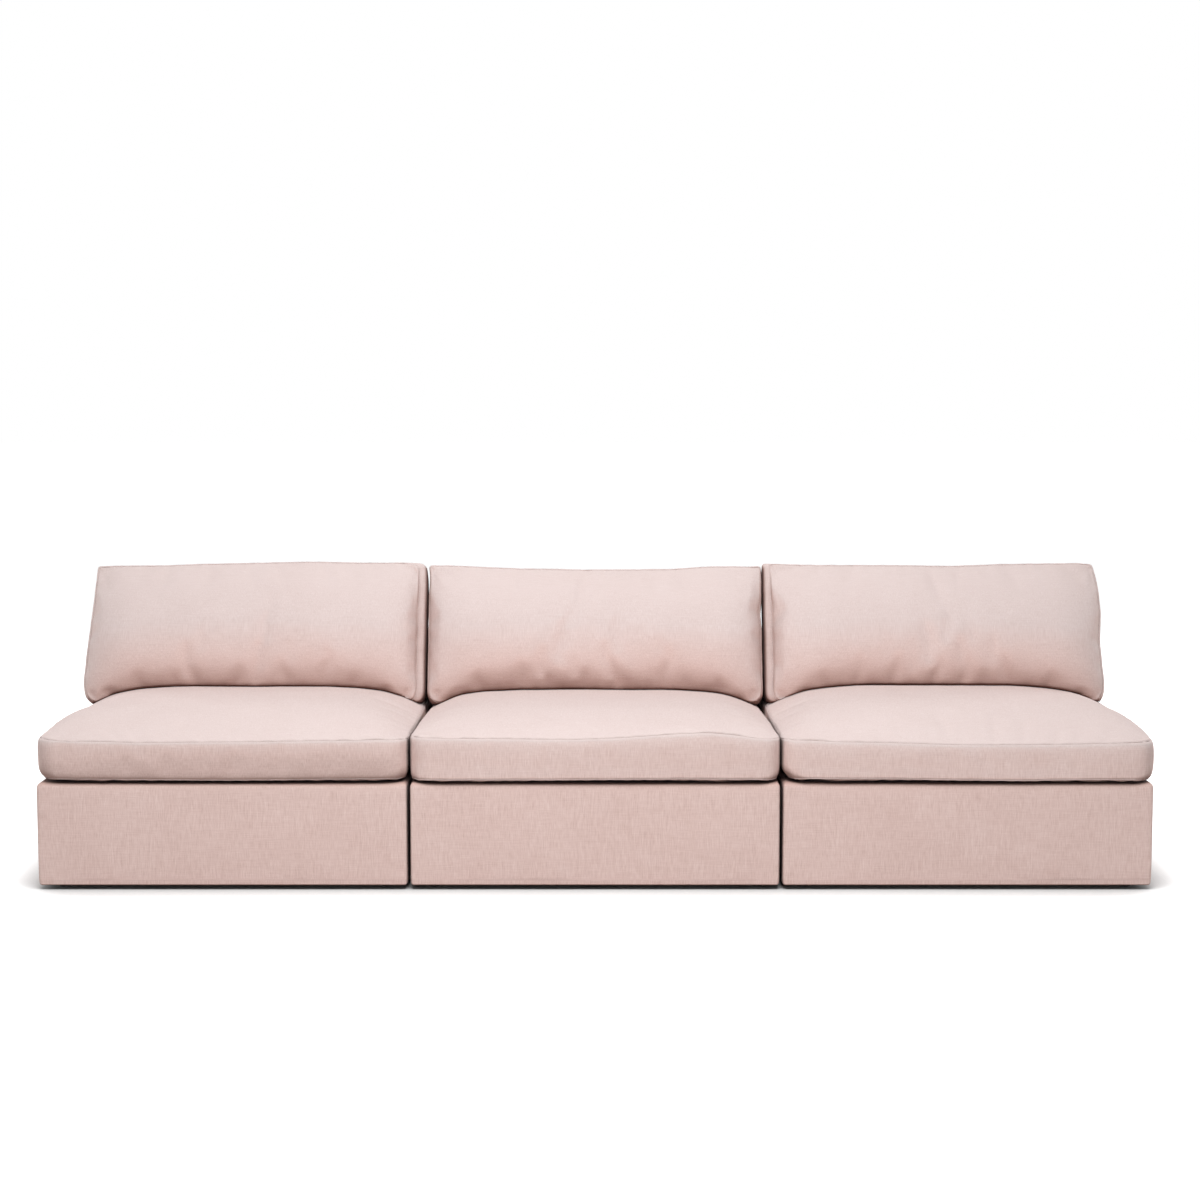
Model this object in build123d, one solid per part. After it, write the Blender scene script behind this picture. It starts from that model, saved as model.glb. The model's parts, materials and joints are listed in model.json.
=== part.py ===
"""Armless sofa made of three equal upholstered seat modules that stand side by side.

Every module is a wooden seat box and back frame in fabric covers, with a loose seat cushion and a loose back
cushion. Millimetres; +X runs along the sofa, -Y is its front, +Z is up, and the floor is at z = 0.
"""

from build123d import *

import os
from math import atan2, cos, degrees, radians, sin, sqrt

# ---------------------------------------------------------------- driving dimensions, mm and degrees

# Modules
MODULES = ("left", "middle", "right")
DRILLED = ("side_rails", "base_cover", "dust_cover")
MODULE_WIDTH = 958.0
MODULE_GAP = 7.0
MODULE_DEPTH = 965.0
MIDDLE = 1

# Heights above the floor
GLIDE_HEIGHT = 11.0
SEAT_DECK_HEIGHT = 281.0
BACK_FRAME_HEIGHT = 575.0

# Covers of the base and of the back frame: fabric with its bonded wadding
COVER_WALL = 10.0
HEM_CHAMFER = 3.0
HEM_THICKNESS = 2.0
HEM_WIDTH = 35.0
BACK_FRAME_DEPTH = 140.0
DUST_COVER_THICKNESS = 1.0
DUST_COVER_INSET = 12.0

# Timber
RAIL_THICKNESS = 22.0
POST_THICKNESS = 30.0
CORNER_BLOCK_LEG = 90.0
CORNER_BLOCK_HEIGHT = 50.0
BRACE_HEIGHT = 80.0
BACK_TOP_RAIL_HEIGHT = 22.0
BACK_LOW_RAIL_HEIGHT = 60.0
BACK_LOW_RAIL_THICKNESS = 22.0
REAR_STRETCHER_HEIGHT = 80.0

# Elastic webbing and the pad on it
STRAP_WIDTH = 60.0
STRAP_THICKNESS = 1.8
STRAP_LAP = 20.0
FRONT_TO_REAR_STRAPS = 5
SIDE_TO_SIDE_STRAPS = 3
STRAP_SLOPE_RUN = 12.0
BACK_STRAPS = 4
DECK_PAD_THICKNESS = 18.0

# Glides with their nails
GLIDE_RADIUS = 16.0
GLIDE_SIDES = 16
GLIDE_SETBACK = 25.0
NAIL_WIDTH = 4.0
NAIL_LENGTH = 28.0
NAIL_CLEARANCE = 0.1

# Seat cushion
SEAT_CUSHION_SIDE_GAP = 4.0
SEAT_CUSHION_REAR_GAP = 5.0
SEAT_BOXING_HEIGHT = 114.0
SEAT_CROWN = 50.0
SEAT_CROWN_REACH = 300.0
CUSHION_CORNER_RADIUS = 34.0
CROWN_TOP_ROUNDNESS = 0.7
CUSHION_WAIST = 0.011
BOXING_BULGE = 6.0
REST_SHARE = 0.6
BOXING_SHARES = (0.0, 0.2, 0.5, 0.8, 1.0)
CROWN_SHARES = (0.12, 0.27, 0.43, REST_SHARE, 0.8, 1.0)
SIDE_PLACES = (0.5, 0.0, -0.5)
CORNER_STEPS = 6
CORE_INSET = 60.0
SEAT_CORE_SKIN = 20.0
SOFT_CLEARANCE = 0.3

# Back cushion
BACK_CUSHION_HEIGHT = 370.0
BACK_CUSHION_SIDE_GAP = 4.0
BACK_BOXING_DEPTH = 175.0
BACK_CROWN = 38.0
BACK_CROWN_REACH = 150.0
BACK_CUSHION_FOOT = 425.0
BACK_CORE_FOOT_INSET = 110.0
BACK_CORE_SKIN = 22.0
RAKE = 18.0

# Connectors under the inner edges
TONGUE_WIDTH = 40.0
TONGUE_THICKNESS = 3.0
TONGUE_REACH = 45.0
TONGUE_SEAT_LENGTH = 45.0
TONGUE_JOGGLE = 1.0
TONGUE_JOGGLE_RUN = 4.0
TONGUE_NOSE_CHAMFER = 8.0
KEEPER_STRIP = 30.0
KEEPER_THICKNESS = 2.0
KEEPER_FLANGE = 22.0
KEEPER_SIDE_PLAY = 1.5
KEEPER_UNDER_PLAY = 0.5
CONNECTOR_SETBACK = 190.0
SCREW_RADIUS = 2.0
SCREW_HEAD_RADIUS = 4.0
SCREW_HEAD_HEIGHT = 2.0
SCREW_LENGTH = 22.0
SCREW_SPACING = 24.0
SCREW_CLEARANCE = 0.1
SCREW_SIDES = 6

# ---------------------------------------------------------------- values that follow from them

PITCH = MODULE_WIDTH + MODULE_GAP
HALF_WIDTH = MODULE_WIDTH / 2
FRONT = -MODULE_DEPTH / 2
REAR = MODULE_DEPTH / 2
BACK_FRONT = REAR - BACK_FRAME_DEPTH
BASE_BOTTOM = GLIDE_HEIGHT + DUST_COVER_THICKNESS
COVER_CORNER_RADIUS = 2 * COVER_WALL

FRAME_BOTTOM = BASE_BOTTOM + HEM_THICKNESS
FRAME_HALF_WIDTH = HALF_WIDTH - COVER_WALL
FRAME_FRONT = FRONT + COVER_WALL
FRAME_REAR = REAR - COVER_WALL
DECK_UNDERSIDE = SEAT_DECK_HEIGHT - COVER_WALL
PAD_BOTTOM = DECK_UNDERSIDE - DECK_PAD_THICKNESS
RAIL_TOP = PAD_BOTTOM - 2 * STRAP_THICKNESS
POST_FRONT = BACK_FRONT + COVER_WALL
POST_TOP = BACK_FRAME_HEIGHT - COVER_WALL
POST_INNER = FRAME_HALF_WIDTH - POST_THICKNESS
SIDE_RAIL_INNER = FRAME_HALF_WIDTH - RAIL_THICKNESS
FRONT_RAIL_REAR = FRAME_FRONT + RAIL_THICKNESS
REAR_RAIL_FRONT = POST_FRONT - RAIL_THICKNESS
BACK_RAIL_FRONT = POST_FRONT + STRAP_THICKNESS

SEAT_CUSHION_HALF_WIDTH = (PITCH - SEAT_CUSHION_SIDE_GAP) / 2
SEAT_CUSHION_REAR = BACK_FRONT - SEAT_CUSHION_REAR_GAP
SEAT_CUSHION_BOTTOM = SEAT_DECK_HEIGHT + SOFT_CLEARANCE
SEAT_SEAM_HEIGHT = SEAT_CUSHION_BOTTOM + SEAT_BOXING_HEIGHT
BACK_CUSHION_HALF_WIDTH = (PITCH - BACK_CUSHION_SIDE_GAP) / 2
REST_HEIGHT = SEAT_SEAM_HEIGHT + SEAT_CROWN * (1 - (1 - REST_SHARE) ** 2)
REST_SETBACK = BOXING_BULGE + (SEAT_CROWN_REACH - BOXING_BULGE) * REST_SHARE
REST_SLOPE = degrees(atan2(2 * SEAT_CROWN * (1 - REST_SHARE), SEAT_CROWN_REACH - BOXING_BULGE))
CONNECTOR_PLACES = (FRONT + CONNECTOR_SETBACK, BACK_FRONT - CONNECTOR_SETBACK)
KEEPER_HALF_WIDTH = TONGUE_WIDTH / 2 + KEEPER_SIDE_PLAY + KEEPER_THICKNESS
SCREW_X = FRAME_HALF_WIDTH - RAIL_THICKNESS / 2


# ---------------------------------------------------------------- shared shapes


def block(x_span, y_span, z_span):
    """Box between two values on each axis."""
    size = [high - low for low, high in (x_span, y_span, z_span)]
    centre = [(high + low) / 2 for low, high in (x_span, y_span, z_span)]
    return Pos(*centre) * Box(*size)


def mirrored(shape):
    """A shape and its mirror image on the other side of the module's middle."""
    return [shape, mirror(shape, about=Plane.YZ)]


def spike(width, length, x, y, z):
    """Upright square bar that stands on z."""
    return Pos(x, y, z + length / 2) * Box(width, width, length)


def pin(radius, sides, length, x, y, z):
    """Upright round bar, drawn with a few flat sides, that stands on z."""
    return extrude(Pos(x, y, z) * RegularPolygon(radius, sides), length)


def plan(half_width, y_front, y_rear, radius, rounded):
    """Rectangle seen from above; rounded names the rows of corners (0 front, -1 rear) that get the radius."""
    outline = Pos(0, (y_front + y_rear) / 2) * Rectangle(2 * half_width, y_rear - y_front)
    for row in rounded:
        outline = fillet(outline.vertices().group_by(Axis.Y)[row], radius)
    return outline


def upright(outline, z_low, z_high):
    """Prism on a plan outline."""
    return extrude(Pos(0, 0, z_low) * outline, z_high - z_low)


def soften_top(solid, radius, keep_sharp_y=None):
    """Round the topmost edges, apart from one that runs along the given y."""
    edges = solid.edges().group_by(Axis.Z)[-1]
    if keep_sharp_y is not None:
        edges = edges.filter_by(lambda edge: abs(edge.center().Y - keep_sharp_y) > COVER_WALL / 2)
    return fillet(edges, radius)


# ---------------------------------------------------------------- covers and what they hold


def seat_box():
    """The seat box's outer form; its rear end butts on the back frame."""
    outline = plan(HALF_WIDTH, FRONT, BACK_FRONT, COVER_CORNER_RADIUS, rounded=(0,))
    body = upright(outline, BASE_BOTTOM, SEAT_DECK_HEIGHT)
    return soften_top(body, COVER_CORNER_RADIUS, keep_sharp_y=BACK_FRONT)


def seat_cavity():
    """Space inside the base cover, which the timber and the pad fill up to."""
    return block(
        (-FRAME_HALF_WIDTH, FRAME_HALF_WIDTH), (FRAME_FRONT, POST_FRONT), (FRAME_BOTTOM, DECK_UNDERSIDE)
    )


def back_slab():
    """The back frame's outer form: square where it butts on the seat box, rounded above it."""
    low_outline = plan(HALF_WIDTH, BACK_FRONT, REAR, COVER_CORNER_RADIUS, rounded=(-1,))
    high_outline = plan(HALF_WIDTH, BACK_FRONT, REAR, COVER_CORNER_RADIUS, rounded=(0, -1))
    high = soften_top(upright(high_outline, SEAT_DECK_HEIGHT, BACK_FRAME_HEIGHT), COVER_CORNER_RADIUS)
    return upright(low_outline, BASE_BOTTOM, SEAT_DECK_HEIGHT) + high


def back_cavity():
    """Space inside the back cover, open to the seat box below the deck."""
    x_span = (-FRAME_HALF_WIDTH, FRAME_HALF_WIDTH)
    high = block(x_span, (POST_FRONT, FRAME_REAR), (FRAME_BOTTOM, POST_TOP))
    return high + block(x_span, (BACK_FRONT, POST_FRONT), (FRAME_BOTTOM, SEAT_DECK_HEIGHT))


def hem_opening():
    """What the returned hem leaves open under a module."""
    half_width = HALF_WIDTH - HEM_WIDTH
    return block((-half_width, half_width), (FRONT + HEM_WIDTH, REAR - HEM_WIDTH), (0, FRAME_BOTTOM))


def soften_hem(solid):
    """Ease the outer bottom edges where the fabric turns under."""
    lowest = solid.edges().group_by(Axis.Z)[0]
    outer = lowest.filter_by(
        lambda edge: abs(edge.center().X) > HALF_WIDTH - COVER_CORNER_RADIUS
        or edge.center().Y < FRONT + COVER_CORNER_RADIUS
        or edge.center().Y > REAR - COVER_CORNER_RADIUS
    )
    return chamfer(outer, HEM_CHAMFER)


def base_cover():
    """Fabric over the seat box: front, sides, deck and the hem turned under."""
    return soften_hem(seat_box()) - seat_cavity() - hem_opening() - nail_holes()


def back_cover():
    """Fabric over the back frame, from its top down to the hem."""
    return soften_hem(back_slab()) - back_cavity() - hem_opening() - nail_holes()


def dust_cover():
    """Thin black cloth that closes the underside."""
    half_width = HALF_WIDTH - DUST_COVER_INSET
    y_span = (FRONT + DUST_COVER_INSET, REAR - DUST_COVER_INSET)
    sheet = block((-half_width, half_width), y_span, (GLIDE_HEIGHT, BASE_BOTTOM))
    return sheet - nail_holes()


# ---------------------------------------------------------------- timber


def front_rail():
    """Board across the front."""
    return block(
        (-FRAME_HALF_WIDTH, FRAME_HALF_WIDTH), (FRAME_FRONT, FRONT_RAIL_REAR), (FRAME_BOTTOM, RAIL_TOP)
    )


def side_rails():
    """Boards along both sides, from the front rail to the back posts."""
    x_span = (SIDE_RAIL_INNER, FRAME_HALF_WIDTH)
    return mirrored(block(x_span, (FRONT_RAIL_REAR, POST_FRONT), (FRAME_BOTTOM, RAIL_TOP)))


def rear_rail():
    """Board under the rear of the seat, between the side rails."""
    return block(
        (-SIDE_RAIL_INNER, SIDE_RAIL_INNER), (REAR_RAIL_FRONT, POST_FRONT), (FRAME_BOTTOM, RAIL_TOP)
    )


def corner_block(y_rail, inward):
    """Triangular block in a corner of the seat box; inward is +1 from the front rail and -1 from the rear."""
    corner = (SIDE_RAIL_INNER, y_rail)
    along_side = (SIDE_RAIL_INNER, y_rail + inward * CORNER_BLOCK_LEG)
    along_rail = (SIDE_RAIL_INNER - CORNER_BLOCK_LEG, y_rail)
    outline = make_face(Polyline(corner, along_side, along_rail, close=True))
    return upright(outline, FRAME_BOTTOM, FRAME_BOTTOM + CORNER_BLOCK_HEIGHT)


def seat_braces():
    """Four corner blocks and the brace from the front rail to the rear rail."""
    front_blocks = mirrored(corner_block(FRONT_RAIL_REAR, 1))
    rear_blocks = mirrored(corner_block(REAR_RAIL_FRONT, -1))
    brace = block(
        (-RAIL_THICKNESS / 2, RAIL_THICKNESS / 2),
        (FRONT_RAIL_REAR, REAR_RAIL_FRONT),
        (FRAME_BOTTOM, FRAME_BOTTOM + BRACE_HEIGHT),
    )
    return [front_block - nail_holes() for front_block in front_blocks] + rear_blocks + [brace]


def back_posts():
    """Upright boards at both ends of the back frame."""
    post = block((POST_INNER, FRAME_HALF_WIDTH), (POST_FRONT, FRAME_REAR), (FRAME_BOTTOM, POST_TOP))
    return [side - nail_holes() for side in mirrored(post)]


def back_rails():
    """Rails between the posts: the top one, the low one and the stretcher at the rear hem."""
    between = (-POST_INNER, POST_INNER)
    top = block(between, (BACK_RAIL_FRONT, FRAME_REAR), (POST_TOP - BACK_TOP_RAIL_HEIGHT, POST_TOP))
    low = block(
        between,
        (BACK_RAIL_FRONT, BACK_RAIL_FRONT + BACK_LOW_RAIL_THICKNESS),
        (SEAT_DECK_HEIGHT, SEAT_DECK_HEIGHT + BACK_LOW_RAIL_HEIGHT),
    )
    stretcher = block(
        between,
        (FRAME_REAR - RAIL_THICKNESS, FRAME_REAR),
        (FRAME_BOTTOM, FRAME_BOTTOM + REAR_STRETCHER_HEIGHT),
    )
    return [top, low, stretcher]


# ---------------------------------------------------------------- webbing and pad


def spread(count, low, high):
    """Middles of evenly spaced straps between two values."""
    step = (high - low) / count
    return [low + (index + 0.5) * step for index in range(count)]


def strap_profile(start, end, crossings, first_is_high):
    """Side view of a woven strap: it climbs over one crossing strap and dips under the next."""
    half_flat = STRAP_WIDTH / 2 + STRAP_THICKNESS
    heights = [RAIL_TOP, RAIL_TOP + STRAP_THICKNESS]
    underside = [(start, RAIL_TOP)]
    high = first_is_high
    for middle in crossings:
        if high:
            underside += [
                (middle - half_flat - STRAP_SLOPE_RUN, heights[0]),
                (middle - half_flat, heights[1]),
                (middle + half_flat, heights[1]),
                (middle + half_flat + STRAP_SLOPE_RUN, heights[0]),
            ]
        high = not high
    underside.append((end, RAIL_TOP))
    topside = [(along, height + STRAP_THICKNESS) for along, height in reversed(underside)]
    return make_face(Polyline(*underside, *topside, close=True))


def seat_webbing():
    """Elastic straps woven over and under each other, with their ends on the rails."""
    x_middles = spread(FRONT_TO_REAR_STRAPS, -SIDE_RAIL_INNER, SIDE_RAIL_INNER)
    y_middles = spread(SIDE_TO_SIDE_STRAPS, FRONT_RAIL_REAR, REAR_RAIL_FRONT)
    straps = []
    for index, x in enumerate(x_middles):
        profile = strap_profile(
            FRONT_RAIL_REAR - STRAP_LAP, REAR_RAIL_FRONT + STRAP_LAP, y_middles, index % 2 == 0
        )
        straps.append(extrude(Plane.YZ.offset(x - STRAP_WIDTH / 2) * profile, STRAP_WIDTH))
    for index, y in enumerate(y_middles):
        profile = strap_profile(
            -SIDE_RAIL_INNER - STRAP_LAP, SIDE_RAIL_INNER + STRAP_LAP, x_middles, index % 2 == 1
        )
        straps.append(extrude(Plane.XZ.offset(-y - STRAP_WIDTH / 2) * profile, STRAP_WIDTH))
    return straps


def back_webbing():
    """Upright straps on the front of the back rails."""
    z_span = (SEAT_DECK_HEIGHT + STRAP_LAP, POST_TOP)
    return [
        block((x - STRAP_WIDTH / 2, x + STRAP_WIDTH / 2), (POST_FRONT, BACK_RAIL_FRONT), z_span)
        for x in spread(BACK_STRAPS, -POST_INNER, POST_INNER)
    ]


def deck_pad():
    """Soft pad between the webbing and the deck fabric."""
    return block(
        (-FRAME_HALF_WIDTH, FRAME_HALF_WIDTH), (FRAME_FRONT, BACK_FRONT), (PAD_BOTTOM, DECK_UNDERSIDE)
    )


# ---------------------------------------------------------------- glides


def glide_places():
    """Where the glides stand: the front ones under the corner blocks, the rear ones under the posts."""
    front_x = SIDE_RAIL_INNER - GLIDE_SETBACK
    rear_x = FRAME_HALF_WIDTH - POST_THICKNESS / 2
    places = []
    for side in (-1, 1):
        places.append((side * front_x, FRONT_RAIL_REAR + GLIDE_SETBACK))
        places.append((side * rear_x, FRAME_REAR - GLIDE_SETBACK - GLIDE_RADIUS))
    return places


def glides():
    """Low round feet, each with the square nail that holds it."""
    foot = pin(GLIDE_RADIUS, GLIDE_SIDES, GLIDE_HEIGHT, 0, 0, 0)
    foot += spike(NAIL_WIDTH, NAIL_LENGTH, 0, 0, GLIDE_HEIGHT)
    return [Pos(x, y, 0) * foot for x, y in glide_places()]


def nail_holes():
    """Holes that the glides' nails need in whatever they pass through."""
    width = NAIL_WIDTH + 2 * NAIL_CLEARANCE
    holes = [spike(width, NAIL_LENGTH + NAIL_CLEARANCE, x, y, GLIDE_HEIGHT) for x, y in glide_places()]
    return Part() + holes


# ---------------------------------------------------------------- connectors


def screw(x, y, seat_z):
    """Screw driven upwards, with its head against a plate's underside at seat_z."""
    head = pin(SCREW_HEAD_RADIUS, SCREW_SIDES, SCREW_HEAD_HEIGHT, x, y, seat_z - SCREW_HEAD_HEIGHT)
    return head + pin(SCREW_RADIUS, SCREW_SIDES, SCREW_LENGTH, x, y, seat_z)


def screw_hole(x, y, seat_z):
    """Space that a screw's shank needs above seat_z."""
    radius = SCREW_RADIUS + SCREW_CLEARANCE
    return pin(radius, SCREW_SIDES, SCREW_LENGTH + SCREW_CLEARANCE, x, y, seat_z)


def screw_places(index):
    """Connector screws of one module: two per tongue on the middle one, two per keeper on the others."""
    if index == MIDDLE:
        sides = (-1, 1)
        offset = SCREW_SPACING / 2
        seat_z = GLIDE_HEIGHT - TONGUE_THICKNESS
    else:
        sides = (MIDDLE - index,)
        offset = KEEPER_HALF_WIDTH + KEEPER_FLANGE / 2
        seat_z = GLIDE_HEIGHT - KEEPER_THICKNESS
    return [
        (side * SCREW_X, y + along * offset, seat_z)
        for side in sides
        for y in CONNECTOR_PLACES
        for along in (-1, 1)
    ]


def drilled(solids, index):
    """Solids of one module with the holes for its connector screws."""
    holes = Part() + [screw_hole(*place) for place in screw_places(index)]
    return [solid - holes for solid in solids]


def tongue(y):
    """Flat steel tongue under the +X edge, stepped down so that it runs free of the next module."""
    top = GLIDE_HEIGHT
    start = HALF_WIDTH - TONGUE_SEAT_LENGTH
    step_start = HALF_WIDTH - TONGUE_JOGGLE_RUN
    end = HALF_WIDTH + MODULE_GAP + TONGUE_REACH
    upper = [(start, top), (step_start, top), (HALF_WIDTH, top - TONGUE_JOGGLE), (end, top - TONGUE_JOGGLE)]
    lower = [(x, z - TONGUE_THICKNESS) for x, z in reversed(upper)]
    profile = make_face(Polyline(*upper, *lower, close=True))
    bar = extrude(Plane.XZ.offset(-y - TONGUE_WIDTH / 2) * profile, TONGUE_WIDTH)
    nose = bar.edges().filter_by(Axis.Z).group_by(Axis.X)[-1]
    return chamfer(nose, TONGUE_NOSE_CHAMFER)


def keeper(y, side):
    """Bent steel strip under one edge, with a throat that a tongue slides into."""
    throat = TONGUE_WIDTH / 2 + KEEPER_SIDE_PLAY
    floor = GLIDE_HEIGHT - TONGUE_JOGGLE - TONGUE_THICKNESS - KEEPER_UNDER_PLAY
    half = [
        (throat, floor),
        (throat, GLIDE_HEIGHT),
        (KEEPER_HALF_WIDTH + KEEPER_FLANGE, GLIDE_HEIGHT),
        (KEEPER_HALF_WIDTH + KEEPER_FLANGE, GLIDE_HEIGHT - KEEPER_THICKNESS),
        (KEEPER_HALF_WIDTH, GLIDE_HEIGHT - KEEPER_THICKNESS),
        (KEEPER_HALF_WIDTH, floor - KEEPER_THICKNESS),
    ]
    right = [(y + across, z) for across, z in half]
    left = [(y - across, z) for across, z in reversed(half)]
    profile = make_face(Polyline(*right, *left, close=True))
    return extrude(Plane.YZ.offset(side * SCREW_X - KEEPER_STRIP / 2) * profile, KEEPER_STRIP)


def tongues():
    """The tongues under both edges of the middle module."""
    return [bar for y in CONNECTOR_PLACES for bar in mirrored(tongue(y))]


def keepers(index):
    """The keepers under the inner edge of an outer module."""
    return [keeper(y, MIDDLE - index) for y in CONNECTOR_PLACES]


# ---------------------------------------------------------------- cushions


def cushion_outline(half_long, half_short, corner, height):
    """Corners of a boxed cushion's outline at one height: bends stand out and the sides are drawn in."""
    long_run = half_long - corner
    short_run = half_short - corner
    turns = [radians(90 * step / CORNER_STEPS) for step in range(CORNER_STEPS + 1)]
    bend = [(long_run + corner * cos(turn), short_run + corner * sin(turn)) for turn in turns]
    draws = [(along, CUSHION_WAIST * (1 - along**2)) for along in SIDE_PLACES]
    long_side = [(long_run * along, half_short - long_run * draw) for along, draw in draws]
    short_side = [(short_run * draw - half_long, short_run * along) for along, draw in draws]
    half = bend + long_side + [(-x, y) for x, y in reversed(bend)] + short_side
    return [(x, y, height) for x, y in half] + [(-x, -y, height) for x, y in half]


def boxing_outlines(half_long, half_short, height):
    """Outlines from the lower seam to the upper one: the sides bulge between the seams."""
    outlines = []
    for share in BOXING_SHARES:
        inset = BOXING_BULGE * (2 * share - 1) ** 2
        corner = CUSHION_CORNER_RADIUS
        outlines.append(cushion_outline(half_long - inset, half_short - inset, corner, share * height))
    return outlines


def crown_outlines(half_long, half_short, start, rise, reach):
    """Outlines above the upper seam: they climb by the rise within the reach, and it is level beyond."""
    outlines = []
    for share in CROWN_SHARES:
        inset = BOXING_BULGE + (reach - BOXING_BULGE) * share
        climb = rise * (1 - (1 - share) ** 2)
        corner = CUSHION_CORNER_RADIUS * (1 - share) + CROWN_TOP_ROUNDNESS * (half_short - reach) * share
        outlines.append(cushion_outline(half_long - inset, half_short - inset, corner, start + climb))
    return outlines


def boxed_cushion(half_long, half_short, height, rise, reach):
    """Closed crowned cushion that lies on its lower panel: flat facets join each outline to the next."""
    outlines = boxing_outlines(half_long, half_short, height)
    outlines += crown_outlines(half_long, half_short, height, rise, reach)
    facets = [outlines[0], outlines[-1]]
    for low, high in zip(outlines, outlines[1:]):
        for index, corner in enumerate(low):
            facets.append((low[index - 1], corner, high[index], high[index - 1]))
    faces = [make_face(Polyline(*facet, close=True)) for facet in facets]
    return Solid(Shell(faces))


def seat_cushion_core():
    """Foam block inside the seat cushion."""
    half_width = SEAT_CUSHION_HALF_WIDTH - CORE_INSET
    return block(
        (-half_width, half_width),
        (FRONT + CORE_INSET, SEAT_CUSHION_REAR - CORE_INSET),
        (SEAT_CUSHION_BOTTOM + SEAT_CORE_SKIN, SEAT_SEAM_HEIGHT - SEAT_CORE_SKIN / 2),
    )


def seat_cushion():
    """Crowned boxed seat cushion: the cover with its fibre wrap, hollow for the foam block."""
    half_depth = (SEAT_CUSHION_REAR - FRONT) / 2
    body = boxed_cushion(
        SEAT_CUSHION_HALF_WIDTH, half_depth, SEAT_BOXING_HEIGHT, SEAT_CROWN, SEAT_CROWN_REACH
    )
    return Pos(0, FRONT + half_depth, SEAT_CUSHION_BOTTOM) * body - seat_cushion_core()


def back_cushion_place():
    """Turns a cushion that lies on its rear panel upright, and leans it on the back frame's top edge.

    The rear panel touches the rounded top edge with the soft clearance, and the front seam's lower edge
    stands at the foot height.
    """
    lean = radians(RAKE)
    edge_y = BACK_FRONT + COVER_CORNER_RADIUS
    edge_z = BACK_FRAME_HEIGHT - COVER_CORNER_RADIUS
    rear_plane = edge_y * cos(lean) - edge_z * sin(lean) - COVER_CORNER_RADIUS - SOFT_CLEARANCE
    front_plane = rear_plane - BACK_BOXING_DEPTH
    foot_y = (front_plane + BACK_CUSHION_FOOT * sin(lean)) / cos(lean)
    middle_y = foot_y + BACK_BOXING_DEPTH * cos(lean) + BACK_CUSHION_HEIGHT / 2 * sin(lean)
    middle_z = BACK_CUSHION_FOOT - BACK_BOXING_DEPTH * sin(lean) + BACK_CUSHION_HEIGHT / 2 * cos(lean)
    return Pos(0, middle_y, middle_z) * Rot(90 - RAKE, 0, 0)


def back_cushion_core():
    """Core block inside the back cushion."""
    half_width = BACK_CUSHION_HALF_WIDTH - CORE_INSET
    half_height = BACK_CUSHION_HEIGHT / 2
    lying = block(
        (-half_width, half_width),
        (-half_height + BACK_CORE_FOOT_INSET, half_height - CORE_INSET / 2),
        (BACK_CORE_SKIN, BACK_BOXING_DEPTH - BACK_CORE_SKIN),
    )
    return back_cushion_place() * lying


def below_rest():
    """Everything under the sloping plane that touches the rear of the seat cushion's crown."""
    size = 2 * MODULE_DEPTH
    half_space = Pos(0, 0, SOFT_CLEARANCE - size / 2) * Box(size, size, size)
    return Pos(0, SEAT_CUSHION_REAR - REST_SETBACK, REST_HEIGHT) * Rot(-REST_SLOPE, 0, 0) * half_space


def back_cushion():
    """Back cushion cover with its filling, flat behind, crowned in front and flattened where it rests."""
    half_height = BACK_CUSHION_HEIGHT / 2
    body = boxed_cushion(
        BACK_CUSHION_HALF_WIDTH, half_height, BACK_BOXING_DEPTH, BACK_CROWN, BACK_CROWN_REACH
    )
    return back_cushion_place() * body - below_rest() - back_cushion_core()


# ---------------------------------------------------------------- the sofa


def module_pieces():
    """Every sub-part that all three modules have, by name."""
    return {
        "front_rail": [front_rail()],
        "rear_rail": [rear_rail()],
        "side_rails": side_rails(),
        "seat_braces": seat_braces(),
        "back_posts": back_posts(),
        "back_rails": back_rails(),
        "seat_webbing": seat_webbing(),
        "back_webbing": back_webbing(),
        "deck_pad": [deck_pad()],
        "base_cover": [base_cover()],
        "back_cover": [back_cover()],
        "dust_cover": [dust_cover()],
        "glides": glides(),
        "seat_cushion": [seat_cushion()],
        "seat_cushion_core": [seat_cushion_core()],
        "back_cushion": [back_cushion()],
        "back_cushion_core": [back_cushion_core()],
    }


def write(name, pieces, x):
    """Write one sub-part, moved along the sofa to its module's place."""
    solids = [Pos(x, 0, 0) * solid for piece in pieces for solid in piece.solids()]
    shape = solids[0] if len(solids) == 1 else Compound(solids)
    export_step(shape, f"parts/{name}.step")


def main():
    """Write every sub-part of the three modules and their connectors."""
    os.makedirs("parts", exist_ok=True)
    pieces = module_pieces()
    for index, module in enumerate(MODULES):
        x = (index - MIDDLE) * PITCH
        for name, solids in pieces.items():
            write(f"{module}_{name}", drilled(solids, index) if name in DRILLED else solids, x)
        connector = "tongues" if index == MIDDLE else "keepers"
        plates = tongues() if index == MIDDLE else keepers(index)
        write(f"{module}_{connector}", drilled(plates, index), x)
        write(f"{module}_screws", [screw(*place) for place in screw_places(index)], x)


main()
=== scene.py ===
"""Armless sofa of three upholstered modules: fabric forms, seams, finishes, floor, light and camera."""

import json
import math

import bpy
import numpy as np
from mathutils import Matrix, Vector
from mathutils.bvhtree import BVHTree
from mathutils.noise import noise

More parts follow.
